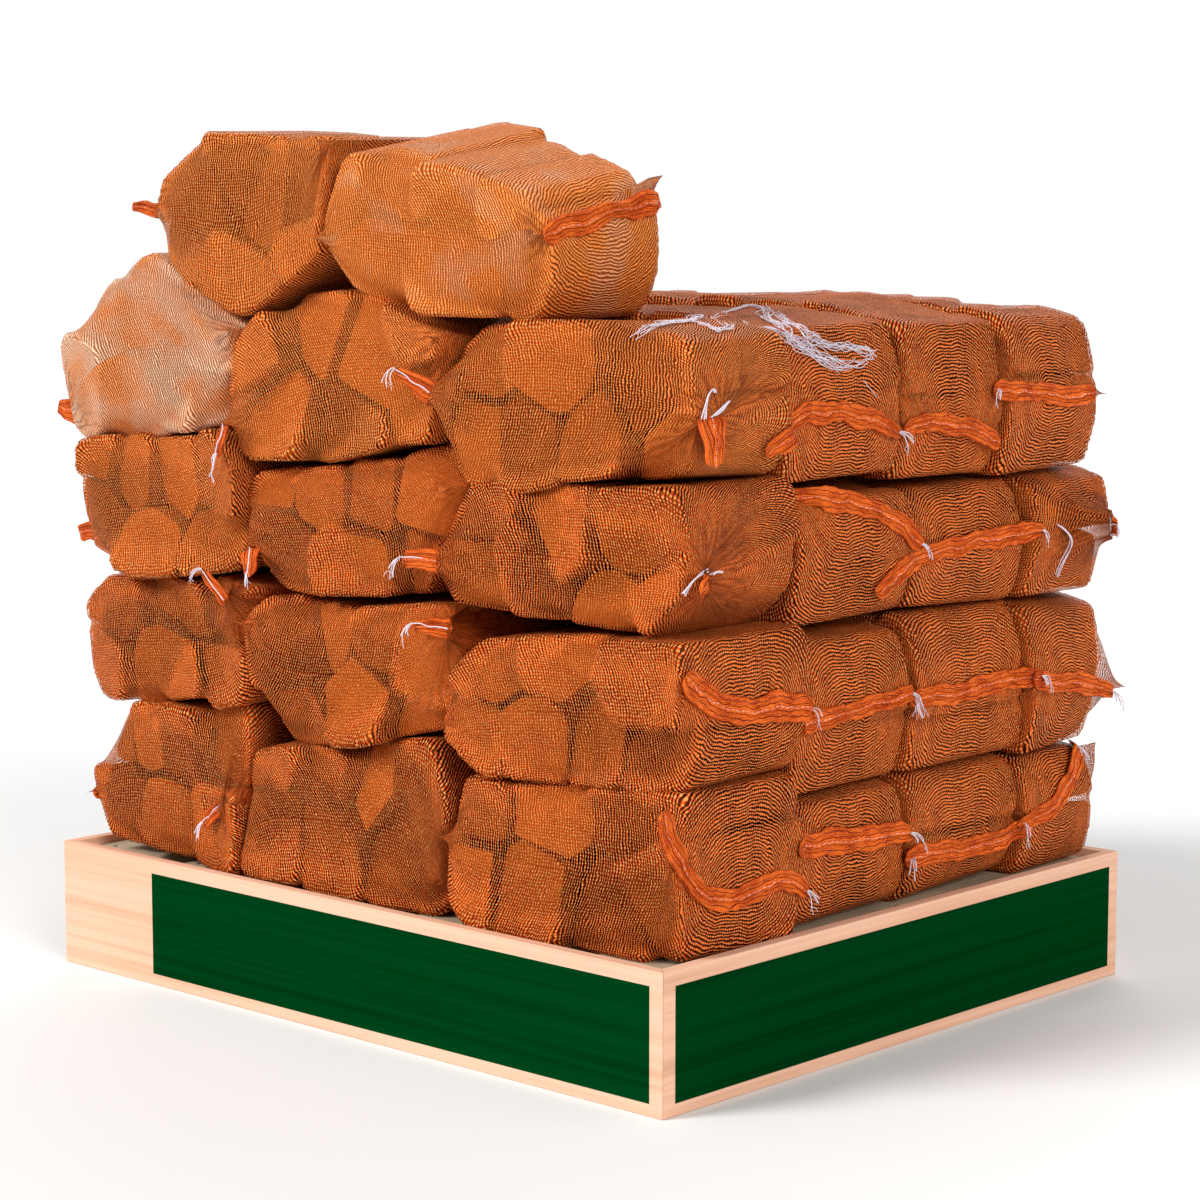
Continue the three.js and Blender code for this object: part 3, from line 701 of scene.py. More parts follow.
tones, apply = start_finish("oak_sawn_end")
place = tones.node("TexCoord", out="Object")
pith = tones.node("Attribute", {"attribute_name": "pith"}, out="Vector")
shade = tones.node("Attribute", {"attribute_name": "shade"}, out="Fac")
flat = tones.node("VectorMath", {"operation": "MULTIPLY"}, {0: place, 1: (1, 0, 1)})
away = tones.node("VectorMath", {"operation": "DISTANCE"}, {0: flat, 1: pith}, "Value")
wander = place.cloud(40.0, 2.0)
rings = ((away * 330 + wander * 2.5).wave(0.5) * 2).step(0.2, 0.9)
saw = place.stretch((900, 1, 120)).cloud(1.0, 2.0)
tone = rings * 0.2 + saw * 0.2 + place.cloud(16.0, 2.0) * 0.45 + shade * 0.7
oak_end = apply({"Base Color": tone.step(0.35, 1.15).blend(paint("602004"), paint("da681c")),
                 "Roughness": 0.8, "Specular IOR Level": 0.04,
                 "Normal": saw.relief(0.4, 0.0006)})

tones, apply = start_finish("oak_split_side")
place = tones.node("TexCoord", out="Object")
shade = tones.node("Attribute", {"attribute_name": "shade"}, out="Fac")
fibre = place.stretch((160, 5, 160)).cloud(1.0, 4.0, 0.6)
stain = place.cloud(12.0, 2.0)
tone = fibre * 0.6 + stain * 0.35 + shade * 0.3
oak_side = apply({"Base Color": tone.step(0.35, 0.95).blend(paint("4a1a06"), paint("9c4818")),
                  "Roughness": 0.85, "Specular IOR Level": 0.08,
                  "Normal": fibre.relief(0.8, 0.0015)})

tones, apply = start_finish("oak_bark")
place = tones.node("TexCoord", out="Object")
ridge = place.stretch((60, 22, 60)).cloud(1.0, 4.0, 0.65)
oak_bark = apply({"Base Color": ridge.step(0.35, 0.7).blend(paint("2c1206"), paint("6e3814")),
                  "Roughness": 0.95, "Specular IOR Level": 0.05,
                  "Normal": ridge.relief(1.0, 0.004)})

sacks = [Sack(f"layer{layer + 1}_row{row + 1}_{side}", row, column, layer)
         for layer in LAYERS for row in ROWS for column, side in enumerate(COLUMNS)]
sacks += [Sack("top_left", 0, 0, len(LAYERS)), Sack("top_right", 0, 1, len(LAYERS))]

for sack in sacks:
    cells = log_cells(sack.outline, sack.key)
    sack.logs = [Log(sack, cell, index) for index, cell in enumerate(cells)]
    shape = bmesh.new()
    shape.verts.layers.float_vector.new("pith")
    shape.verts.layers.float_vector.new("heart")
    shape.verts.layers.float.new("shade")
    shape.verts.layers.int.new("corner")
    for log in sack.logs:
        if len(log.section) > 2:
            log.build(shape)
    bmesh.ops.recalc_face_normals(shape, faces=shape.faces)
    if sack.rise:
        for vert in shape.verts:
            vert.co = Vector(sack.raised(np.array(vert.co)))
    add_piece("oak_logs_" + sack.name, shape, [oak_end, oak_side, oak_bark],
              [sack.node])

# The nets: each sack is a knitted tube of orange plastic thread, sewn flat or tied at its ends,
# and drawn tight over its logs so that it tents from one log to the next.
HEM_LINES = {
    "layer1_row1_right": [(-0.506, 0.383), (-0.458, 0.299), (-0.350, 0.262), (-0.236, 0.250)],
    "layer1_row2_right": [(-0.237, 0.304), (-0.108, 0.296), (0.016, 0.287)],
    "layer1_row3_right": [(0.028, 0.250), (0.171, 0.245), (0.296, 0.253)],
    "layer1_row4_right": [(0.295, 0.261), (0.372, 0.287), (0.449, 0.352)],
    "layer2_row1_right": [(-0.478, 0.554), (-0.440, 0.527), (-0.340, 0.505), (-0.240, 0.498)],
    "layer2_row2_right": [(-0.229, 0.470), (-0.111, 0.474), (0.012, 0.484)],
    "layer2_row3_right": [(0.024, 0.475), (0.165, 0.474), (0.301, 0.481)],
    "layer2_row4_right": [(0.302, 0.474), (0.390, 0.462), (0.486, 0.439)],
    "layer3_row2_right": [(-0.284, 0.765), (-0.138, 0.762), (-0.027, 0.728), (0.019, 0.698)],
    "layer3_row3_right": [(-0.048, 0.634), (0.043, 0.668), (0.170, 0.684), (0.308, 0.692)],
    "layer4_row2_right": [(-0.317, 0.838), (-0.250, 0.870), (-0.152, 0.880), (-0.031, 0.849)],
    "layer4_row3_right": [(0.004, 0.849), (0.108, 0.852), (0.217, 0.826)],
    "layer4_row4_right": [(0.215, 0.897), (0.327, 0.886), (0.430, 0.882)],
    "top_right": [(-0.478, 1.112), (-0.370, 1.138), (-0.262, 1.160)],
}
EARS = [
    ("layer3_row1_left", -1, (-0.619, -0.446, 0.665), (-0.657, -0.446, 0.663), 0.034),
    ("layer4_row1_left", -1, (-0.656, -0.446, 0.846), (-0.705, -0.446, 0.857), 0.040),
    ("top_left", -1, (-0.451, -0.446, 1.152), (-0.513, -0.446, 1.165), 0.024),
    ("layer1_row1_left", 1, (-0.256, -0.490, 0.296), (-0.299, -0.503, 0.259), 0.029),
    ("layer2_row1_left", 1, (-0.258, -0.487, 0.589), (-0.292, -0.501, 0.635), 0.023),
    ("layer2_row1_middle", 1, (0.199, -0.480, 0.587), (0.150, -0.501, 0.593), 0.030),
    ("layer3_row1_middle", -1, (-0.196, -0.488, 0.669), (-0.185, -0.503, 0.635), 0.040),
    ("layer4_row1_middle", -1, (-0.254, -0.487, 0.843), (-0.254, -0.501, 0.802), 0.020),
    ("layer4_row1_right", -1, (0.177, -0.489, 0.904), (0.125, -0.507, 0.935), 0.037),
    ("layer3_row1_right", -1, (0.187, -0.489, 0.679), (0.133, -0.504, 0.682), 0.040),
    ("layer3_row1_right", 1, (0.622, -0.444, 0.679), (0.632, -0.467, 0.671), 0.025, (1, 0, 0)),
    ("layer4_row1_right", 1, (0.628, -0.446, 0.884), (0.636, -0.444, 0.828), 0.052, (1, 0, 0)),
    ("layer3_row4_right", 1, (0.650, 0.433, 0.6935), (0.662, 0.434, 0.694), 0.040),
]
EAR_GATHER = 0.07
EAR_TAPER = 0.6
EAR_STEP = 0.004
HEM_WAVE = 0.007
OUTER_EAR = {"stand": 0.026, "wander": 0.030, "reach": 0.034, "width": 0.030, "aside": 0.2,
             "droop": 0.25}
PLEATS = 7
NET_STAND = 0.0028
NET_PULL = 0.0002
NET_STATIONS, NET_ROUND = 56, 76
RIM_REACH = 0.012
LOG_UNDER = 0.0012
SLACK_REACH = 0.009
RELAX_STEPS = 60


class Ear:
    """A corner of a hem that stands off: a flap from a root, where the net ends, to a tip."""

    def __init__(self, direction, root, tip, width, looks=(0, -1, 0), thickness=0.010):
        self.direction = direction
        self.root, self.width, self.thickness = np.array(root), width, thickness
        self.length = math.dist(root, tip)
        self.way = (np.array(tip) - self.root) / self.length
        across = np.cross(self.way, looks)
        across /= np.linalg.norm(across)
        tube = Vector((direction, 0, 0))
        above = tube.rotation_difference(Vector(self.way)) @ Vector((0, 0, 1))
        self.across = across * math.copysign(1, across @ np.array(above))
        self.face = np.cross(across, self.way)

    def ring(self, middle, wide, thick, count, pleat):
        """A pleated oval that starts on the side that looks out and goes over the top."""
        turn = np.linspace(0, 2 * np.pi, count, endpoint=False)[:, None]
        size = 1 + pleat * np.cos(PLEATS * turn + 1.3 * np.sin(2 * turn))
        return (middle + self.face * np.cos(turn) * thick * size
                + self.across * np.sin(turn) * wide * size)


def hem_heights(line, y):
    """Height of a hem at y, on a smooth curve through the points of its line."""
    ys, zs = np.array(line).T
    fit = np.polyfit(ys - ys.mean(), zs, min(len(ys) - 1, 3))
    return np.polyval(fit, np.clip(y, ys.min(), ys.max()) - ys.mean())


def outer_closure(sack, direction):
    """Hem or ear of a sack at the left side behind the front row, by turns."""
    height = sack.low + (sack.high - sack.low) * (0.35 + 0.25 * draw(sack.row, sack.layer, 11))
    if (sack.row + sack.layer) % 2 == 0:
        middle = (sack.front + sack.back) / 2
        return "hem", [(sack.front + 0.005, height - HEM_WAVE), (middle, height + HEM_WAVE),
                       (sack.back - 0.005, height - HEM_WAVE / 2)]
    reach = OUTER_EAR["reach"]
    x = sack.end_x(height, direction) + direction * OUTER_EAR["stand"]
    y = (sack.front + sack.back) / 2
    y += OUTER_EAR["wander"] * (draw(sack.row, sack.layer, 12) - 0.5)
    aside = OUTER_EAR["aside"] * (draw(sack.row, sack.layer, 13) - 0.5)
    tip = (x + direction * reach, y + aside * reach, height - OUTER_EAR["droop"] * reach)
    return "ear", Ear(direction, (x, y, height), tip, OUTER_EAR["width"])


def closure(sack, direction):
    """What closes the net at one end: a hem line, an ear, or nothing to be seen."""
    for name, *facts in EARS:
        if name == sack.name and facts[0] == direction:
            return "ear", Ear(*facts)
    if direction > 0 and sack.name in HEM_LINES:
        return "hem", HEM_LINES[sack.name]
    if direction < 0 and sack.column == 0 and (sack.row > 0 or sack.layer < 2):
        return outer_closure(sack, direction)
    far = max(sack.outline, key=lambda p: direction * p[0])
    return "plain", [(sack.front, far[1]), (sack.back, far[1])]


def chain_points(sack, left_z, right_z, count):
    """The upper and the lower half of the outline, in even steps from the left to the right."""
    corners = np.array(sack.outline + sack.outline[:1])
    steps = np.hypot(*np.diff(corners, axis=0).T)
    along = np.concatenate([[0], np.cumsum(steps)])
    total = along[-1]

    def place_of(z, direction):
        x = sack.end_x(z, direction)
        fine = np.linspace(0, total, 2000)
        xs = np.interp(fine, along, corners[:, 0])
        zs = np.interp(fine, along, corners[:, 1])
        return fine[np.argmin((xs - x) ** 2 + (zs - z) ** 2)]

    start, end = place_of(right_z, 1), place_of(left_z, -1)
    upper = (end - start) % total
    share = np.linspace(0, 1, count)
    tops = (end - share * upper) % total
    bottoms = (end + share * (total - upper)) % total
    return [np.stack([np.interp(spots, along, corners[:, k]) for k in (0, 1)], axis=1)
            for spots in (tops, bottoms)]


def net_points(sack, stations, round_count):
    """Rings of the net tube from its left end to its right end, loose round the logs."""
    ends = {direction: closure(sack, direction) for direction in (-1, 1)}
    heights = {}
    for direction, (kind, facts) in ends.items():
        z = facts.root[2] if kind == "ear" else float(np.mean([p[1] for p in facts]))
        inner_low = sack.low + 0.12 * (sack.high - sack.low)
        inner_high = sack.high - 0.12 * (sack.high - sack.low)
        heights[direction] = min(max(z, inner_low), inner_high)
    tops, bottoms = chain_points(sack, heights[-1], heights[1], stations)
    y_front = min(log.end_point(0, x, z).y for log in sack.logs for x, z in log.section) - 0.002
    y_back = max(log.end_point(1, x, z).y for log in sack.logs for x, z in log.section) + 0.002
    net = np.zeros((stations, round_count, 3))
    depth = y_back - y_front
    for i in range(stations):
        height = np.linalg.norm(tops[i] - bottoms[i]) + 1e-6
        knots = np.cumsum([0, height / 2, depth, height, depth, height / 2])
        spots = np.arange(round_count) / round_count * knots[-1]
        share = np.interp(spots, knots, [0.5, 1, 1, 0, 0, 0.5])[:, None]
        net[i, :, 1] = np.interp(spots, knots, [y_front, y_front, y_back, y_back, y_front, y_front])
        net[i, :, [0, 2]] = (bottoms[i] * (1 - share) + tops[i] * share).T
    span = stations // 4
    heart = np.array([*centroid(sack.outline), 0])[[0, 2, 1]]
    heart[1] = sack.front + 0.11
    for direction, (kind, facts) in ends.items():
        at = -1 if direction > 0 else 0
        if kind == "ear":
            inward = heart - facts.root
            inward /= np.linalg.norm(inward)
            for k in range(span):
                i = stations - 1 - k if direction > 0 else k
                share = (1 - k / span) ** 1.5
                spread = 0.09 * k / span
                cone = facts.ring(facts.root + inward * EAR_GATHER * k / span,
                                  facts.width / 2 + spread, facts.thickness / 2 + spread,
                                  round_count, 0.12)
                net[i] = net[i] * (1 - share) + cone * share
        else:
            ring = net[at]
            ring[:, 2] = hem_heights(facts, ring[:, 1])
            flat = [sack.end_x(z, direction) for z in np.clip(ring[:, 2], sack.low + 0.004,
                                                             sack.high - 0.004)]
            ring[:, 0] = np.array(flat) + direction * 0.001
    return net, ends


def drawn_tight(net, sack, steps, pull):
    """Evens out the inner rings of a net and draws them inward, but keeps them off the logs."""
    planes = [(np.array(log.planes), np.array(log.exposed)) for log in sack.logs
              if len(log.section) > 2]
    for _ in range(steps):
        around = (np.roll(net, 1, axis=1) + np.roll(net, -1, axis=1)) / 2
        along = (net[:-2] + net[2:]) / 2
        normal = np.cross(net[2:] - net[:-2], np.roll(net, -1, axis=1)[1:-1]
                          - np.roll(net, 1, axis=1)[1:-1])
        normal /= np.linalg.norm(normal, axis=2)[:, :, None] + 1e-9
        net[1:-1] += 0.6 * (0.5 * (along + around[1:-1]) - net[1:-1]) - pull * normal
        inner = net[1:-1].reshape(-1, 3)
        for walls, exposed in planes:
            depth_in = inner @ walls[:, :3].T - walls[:, 3]
            touching = depth_in.max(axis=1) < NET_STAND
            if touching.any():
                out = depth_in[touching]
                deep = out[:, -2:].max(axis=1) < -RIM_REACH
                out[:, ~exposed] -= deep[:, None]
                nearest = out.argmax(axis=1)
                push = NET_STAND - out[np.arange(len(nearest)), nearest]
                inner[touching] += walls[nearest, :3] * push[:, None]
        net[1:-1] = inner.reshape(net[1:-1].shape)
    return net


def net_tree(net):
    """The faces of a net, for finding what lies under it or over it."""
    rings, count = net.shape[:2]
    quads = [(i * count + j, i * count + (j + 1) % count,
              (i + 1) * count + (j + 1) % count, (i + 1) * count + j)
             for i in range(rings - 1) for j in range(count)]
    return BVHTree.FromPolygons(net.reshape(-1, 3).tolist(), quads)


def tuck_in(sack):
    """Draws the log corners that stick out of the net back under it."""
    tree = net_tree(sack.net)
    logs = bpy.data.objects["oak_logs_" + sack.name].data
    for vert, heart in zip(logs.vertices, logs.attributes["heart"].data):
        way = vert.co - heart.vector
        length = way.length
        hit = tree.ray_cast(heart.vector, way / length, length + LOG_UNDER)[0]
        if hit:
            vert.co = heart.vector + way * (((hit - heart.vector).length - LOG_UNDER) / length)


def slack(net, sack):
    """How far each point of a net hangs off the nearest log: 0 on it, 1 well off it."""
    points = net.reshape(-1, 3)
    gap = np.ones(len(points))
    for log in sack.logs:
        if len(log.section) > 2:
            walls = np.array(log.planes)
            gap = np.minimum(gap, (points @ walls[:, :3].T - walls[:, 3]).max(axis=1))
    return np.clip((gap - NET_STAND) / SLACK_REACH, 0, 1).reshape(net.shape[:2])


def refined(net):
    """The same net with a point added halfway between each two, round it and along it."""
    between = (net + np.roll(net, -1, axis=1)) / 2
    net = np.stack([net, between], axis=2).reshape(len(net), -1, 3)
    fine = np.repeat(net, 2, axis=0)[:-1]
    fine[1::2] = (net[1:] + net[:-1]) / 2
    return fine


def tube_mesh(name, rings, pale_and_lit=0.0, loose=0.0):
    """A mesh of the rings of a tube. Its UV map runs in metres along it and from 0 to 1 round."""
    total, count = rings.shape[:2]
    sheet = bmesh.new()
    bmesh.ops.create_grid(sheet, x_segments=count, y_segments=total - 1, size=1.0)
    mesh = bpy.data.meshes.new(name)
    sheet.to_mesh(mesh)
    sheet.free()
    closed = np.concatenate([rings, rings[:, :1]], axis=1)
    mesh.vertices.foreach_set("co", closed.astype(np.float32).ravel())
    gaps = np.linalg.norm(np.diff(rings, axis=0), axis=2)
    reach = max(1, count // 10)
    gaps = sum(np.roll(gaps, k, axis=1) for k in range(-reach, reach + 1)) / (2 * reach + 1)
    lengths = np.concatenate([np.zeros((1, count)), np.cumsum(gaps, axis=0)])
    lengths = np.concatenate([lengths, lengths[:, :1]], axis=1).ravel()
    steps = np.linalg.norm(np.diff(closed, axis=1), axis=2)
    corners = np.zeros(len(mesh.loops), np.int32)
    mesh.loops.foreach_get("vertex_index", corners)
    uv = np.stack([lengths[corners], (corners % (count + 1)) / count], axis=1)
    layer = mesh.uv_layers.new(name="knit")
    layer.data.foreach_set("uv", uv.astype(np.float32).ravel())
    tight = np.minimum(np.roll(steps, 1, axis=1), steps) / np.percentile(steps, 60)
    facts = {"gather": np.clip(1 - tight, 0, 1), "pale": pale_and_lit, "slack": loose}
    for fact, values in facts.items():
        values = np.broadcast_to(values, (total, count))
        values = np.concatenate([values, values[:, :1]], axis=1)
        layer = mesh.attributes.new(fact, "FLOAT", "POINT")
        layer.data.foreach_set("value", values.astype(np.float32).ravel())
    whole = bmesh.new()
    whole.from_mesh(mesh)
    bmesh.ops.remove_doubles(whole, verts=whole.verts, dist=2e-5)
    bmesh.ops.recalc_face_normals(whole, faces=whole.faces)
    for face in whole.faces:
        face.smooth = True
    whole.to_mesh(mesh)
    whole.free()
    return mesh


RIB_PITCH = 0.0047
NET_GIRTH = 0.85
LOOP_PITCH = 0.0044
PLEAT_PITCH = 0.028
# Sacks that are painted paler: partly dusty, milky plastic, partly painted light and sheen where these sacks
# catch more light.
PALE_AND_LIT_SACKS = {"layer4_row1_left": 0.8, "top_left": 0.27, "top_right": 0.52,
              "layer4_row1_middle": 0.22, "layer3_row1_left": 0.12, "layer4_row1_right": 0.16}

tones, apply = start_finish("net_orange")
knit = tones.node("UVMap", {"uv_map": "knit"}).stretch((1, NET_GIRTH, 1))
spot = knit.node("SeparateXYZ", None, {0: knit})
across = Tone(spot.tree, spot.socket.node.outputs[1])
gather = tones.node("Attribute", {"attribute_name": "gather"}, out="Fac")
slackness = tones.node("Attribute", {"attribute_name": "slack"}, out="Fac").step(0.0, 0.8)
drift = knit.cloud(20.0, 2.0) - 0.5
ripple = knit.cloud(110.0, 1.0) - 0.5
kink = knit.cloud(36.0, 1.0) - 0.5
spread = knit.cloud(9.0, 2.0).step(0.32, 0.68)
fleck = knit.cloud(330.0, 1.0)
# Paleness: on the pale sacks the thread, shadow and glint colours turn paler and pinker. This is partly
# milky plastic and partly painted light and sheen.
pale = tones.node("Attribute", {"attribute_name": "pale"}, out="Fac") * (spread * 0.5 + 0.7)
rib = (spot * (1 / RIB_PITCH) + drift * 1.8 + kink * 1.6 + ripple * 0.8).wave(0.5) * 2
loop = (across * (1 / LOOP_PITCH) + drift * 1.5 + ripple).wave(0.5) * 2
fold = (across * (1 / PLEAT_PITCH) + drift * 3.0 + kink * 1.0).wave(0.5) * 2
# Painted shade in the valleys of the pleats where the net is gathered. The same mask sinks the bump there.
pleat_crease_and_shade = (1 - fold.step(0.1, 0.7)) * gather.step(0.25, 0.6)
bound = 0.24 + spread * 0.14 + slackness * 0.20 - gather * 0.3 + fleck * 0.14
rise = rib - bound
thread = rise.step(-0.05, 0.10)
cross = (loop - fleck * 0.3).step(0.54, 0.74) * (1 - spread * 0.6)
# On the pale sacks the gaps are partly filled with their lightened shadow colour, a painted light.
cover = thread.most(cross * 0.6).most(gather.step(0.7, 0.92)).most(pale.step(0.15, 0.45) * 0.48)
round_thread = (rise * 1.9).least(1.0)
# Painted highlights: bright glints on the threads, paler on the pale sacks. The same mask also raises the
# bump.
shine = (fleck * 0.8 + loop * 0.4 + rib * 0.15 + pale * 0.12).step(0.66, 0.86) * thread
# Broad patches of lighter and darker thread colour: partly the thread's own tone, partly painted glare on
# the plastic.
tone_and_glare = knit.cloud(26.0, 3.0).step(0.3, 0.7)
strand = tone_and_glare.blend(paint("c03a06"), paint("fa6416"))
milky_and_sheen = pale * 2.2 - 1.1
strand = (pale * 1.3).blend(strand, milky_and_sheen.blend(paint("ff8a2e"), paint("fcd0b0")))
# Painted shadow: thread edges and the gaps between threads take a dark shadow colour. It is darker where the
# net hangs off the logs and lighter on the pale sacks.
shadow = slackness.blend(paint("5c1a04"), paint("440e02"))
shadow = (pale * 2.0).blend(shadow, milky_and_sheen.blend(paint("cc5c16"), paint("d08c60")))
colour = (round_thread * 0.9 + gather * 0.3).step(0.0, 0.9).blend(shadow, strand)
colour = (shine * (0.8 + pale * 0.2)).blend(colour, milky_and_sheen.blend(paint("ffac60"), paint("ffd8bc")))
colour = (pleat_crease_and_shade * 0.55).blend(colour, paint("7a2004"))
height = thread * 0.5 + round_thread * 0.5 + shine * 0.4 + cross * 0.2 - pleat_crease_and_shade * 1.0
net_orange = apply({"Base Color": colour, "Alpha": cover, "Roughness": 0.45,
                    "Specular IOR Level": 0.06, "Normal": height.relief(0.8, 0.0018)})

for sack in sacks:
    seen = sack.front_shows or sack.column == 2
    if sack.hidden:
        net, sack.closures = net_points(sack, 24, 32)
        net = drawn_tight(net, sack, 12, NET_PULL)
    else:
        net, sack.closures = net_points(sack, NET_STATIONS, NET_ROUND)
        net = drawn_tight(net, sack, RELAX_STEPS, NET_PULL)
        if seen:
            net = drawn_tight(refined(net), sack, RELAX_STEPS // 4, NET_PULL / 4)
    loose = slack(net, sack)
    sack.net = sack.raised(net) if sack.rise else net
    tuck_in(sack)
    mesh = tube_mesh("net_" + sack.name, sack.net, PALE_AND_LIT_SACKS.get(sack.name, 0.0), loose)
    place_mesh("net_" + sack.name, mesh, [net_orange], [sack.node])

# The hems: where the end of a net is sewn shut, its edge is folded over twice and stitched with
# white thread. The stiff band lies along the side of the sack and its two corners stand off.
HEM_WIDTH = 0.029
WIDE_HEMS = {"layer2_row1_right": 1.35, "layer1_row2_right": 1.15}
HEM_EAR = 0.012
HEM_STEP = 0.004
HEM_PROFILE = [(-0.50, 0.6), (-0.47, 2.8), (-0.36, 4.2), (-0.24, 3.4), (-0.17, 0.9), (-0.10, 3.2),
               (0.02, 4.8), (0.13, 3.8), (0.19, 0.9), (0.26, 4.2), (0.37, 6.0), (0.47, 4.4),
               (0.50, 1.2), (0.44, 0.0), (0.0, -0.6), (-0.44, 0.0)]
STITCH_AT = 6 / len(HEM_PROFILE)

quads, spots = [], []
for sack in sacks:
    if sack.hidden:
        continue
    rings, count = sack.net.shape[:2]
    base = len(spots)
    spots += sack.net.reshape(-1, 3).tolist()
    quads += [(base + i * count + j, base + i * count + (j + 1) % count,
               base + (i + 1) * count + (j + 1) % count, base + (i + 1) * count + j)
              for i in range(rings - 1) for j in range(count)]
netting = BVHTree.FromPolygons(spots, quads)


def lies_at(y, z, direction, fallback):
    """X of the outermost net at a height and depth, looked for from one side."""
    hit = netting.ray_cast(Vector((direction * 1.5, y, z)), Vector((-direction, 0, 0)))[0]
    return hit.x if hit and abs(hit.x - fallback) < 0.05 else fallback


def hem_path(line):
    """Even steps along the hem in Y and Z, with a short ear past either end."""
    ys = np.linspace(line[0][0], line[-1][0], 200)
    path = np.stack([ys, hem_heights(line, ys)], axis=1)
    head = path[0] + (path[0] - path[3]) / np.linalg.norm(path[0] - path[3]) * HEM_EAR
    tail = path[-1] + (path[-1] - path[-4]) / np.linalg.norm(path[-1] - path[-4]) * HEM_EAR
    path = np.concatenate([[head], path, [tail]])
    along = np.concatenate([[0], np.cumsum(np.linalg.norm(np.diff(path, axis=0), axis=1))])
    even = np.linspace(0, along[-1], int(along[-1] / HEM_STEP))
    return np.stack([np.interp(even, along, path[:, k]) for k in (0, 1)], axis=1)


def smooth(values, reach):
    padded = np.concatenate([[values[0]] * reach, values, [values[-1]] * reach])
    return np.convolve(padded, np.ones(2 * reach + 1) / (2 * reach + 1), mode="valid")


def close_ends(rings):
    """Draws both end rings of a folded band together, so that it's closed."""
    for end in (0, -1):
        middle = rings[end].mean(axis=0)
        rings[end] = middle + (rings[end] - middle) * 0.02
    return rings


def hem_rings(sack, line, direction):
    """The folded band that lies on the net along a hem line, its two ends standing off."""
    path = hem_path(line)
    tangent = np.gradient(path, axis=0)
    tangent /= np.linalg.norm(tangent, axis=1)[:, None]
    side = np.stack([-tangent[:, 1], tangent[:, 0]], axis=1)
    side[side[:, 1] > 0] *= -1
    fallback = [sack.end_x(min(max(z, sack.low + 0.01), sack.high - 0.01), direction)
                for z in path[:, 1]]
    width = HEM_WIDTH * WIDE_HEMS.get(sack.name, 1)
    under = np.array([max(direction * lies_at(*(p + s * w * width), direction, x)
                          for w in (-0.5, -0.2, 0.1, 0.5))
                      for p, s, x in zip(path, side, fallback)])
    under = smooth(np.maximum(under, smooth(under, 3)), 2)
    rings = []
    for i, (p, s) in enumerate(zip(path, side)):
        share = i / (len(path) - 1)
        ear = min(1.0, 6 * min(share, 1 - share) + 0.55)
        wave = noise.noise_vector(Vector((p[0] * 22, p[1] * 22, sack.key)))
        stand = under[i] + 0.004 * (1 - min(1.0, 8 * min(share, 1 - share))) + 0.001 * wave.z
        ring = []
        for w, lift in HEM_PROFILE:
            fold = 1 + 0.8 * noise.noise(Vector((p[0] * 45, w * 3, sack.key)))
            crumple = noise.noise(Vector((p[0] * 75, p[1] * 75, w * 4 + sack.key)))
            shift = w * width * ear * (1 + 0.35 * wave.x) + 0.006 * wave.y + 0.003 * crumple
            ring.append((direction * (stand + (lift * fold - 0.6) * 0.001), *(p + s * shift)))
        rings.append(ring)
    return close_ends(np.array(rings))


def ear_rings(ear, key):
    """The flap of an ear: the same folded band, narrower to its tip and a little curled."""
    count = max(7, int(ear.length / EAR_STEP))
    rings = []
    for i in range(count):
        share = i / (count - 1)
        middle = (ear.root + ear.way * (ear.length * (share * 1.08 - 0.08))
                  + ear.face * 0.004 * math.sin(share * 3) - np.array([0, 0, 0.006 * share ** 2]))
        wave = noise.noise_vector(Vector((share * 2.2, key, 0.4)))
        wide = ear.width * (1 + (EAR_TAPER - 1) * share) * (1 + 0.3 * wave.x)
        thick = 0.001 * ear.thickness / 0.010
        ring = []
        for w, lift in HEM_PROFILE:
            fold = 1 + 0.7 * noise.noise(Vector((share * 3, w * 3, key)))
            ring.append(middle + ear.across * (w * wide + 0.004 * wave.y)
                        + ear.face * ((lift * fold - 2.5) * thick + 0.003 * wave.z))
        rings.append(ring)
    return close_ends(np.array(rings))


tones, apply = start_finish("hem_orange")
knit = tones.node("UVMap", {"uv_map": "knit"})
spot = knit.node("SeparateXYZ", None, {0: knit})
round_hem = Tone(spot.tree, spot.socket.node.outputs[1])
place = tones.node("TexCoord", out="Object")
loops_in_hem = (spot * (1 / 0.0034) + place.cloud(90.0)).wave(0.5) * 2
strands = (round_hem * 22.0 + place.cloud(60.0) * 2.5).wave(0.5) * 2
groove_and_shade = (round_hem * 7 - 0.05 + (place.cloud(40.0) - 0.5) * 0.9).wave(0.5) * 2
wander = (place.cloud(60.0) - 0.5) * 0.09
astray = round_hem - STITCH_AT + wander
stitch = (1 - astray.size().step(0.006, 0.014)) * 0.6
stitch = stitch * (spot * (1 / 0.010) + place.cloud(30.0)).wave(0.5).step(0.16, 0.24)
patch = place.cloud(38.0, 2.0).step(0.3, 0.7)
body = strands * 0.5 + loops_in_hem * 0.3 + place.cloud(260.0, 2.0) * 0.6 + patch * 0.3
colour = body.step(0.50, 1.15).blend(paint("b03404"), paint("fc7828"))
# Painted shade in the grooves between the ropes of the folded hem.
colour = groove_and_shade.step(0.0, 0.28).blend(paint("701a02"), colour)
hem_orange = apply({"Base Color": stitch.blend(colour, paint("f2c4b4")), "Roughness": 0.5,
                    "Specular IOR Level": 0.12,
                    "Normal": (strands * 0.5 + groove_and_shade.step(0.0, 0.4) + body).relief(0.7, 0.0012)})

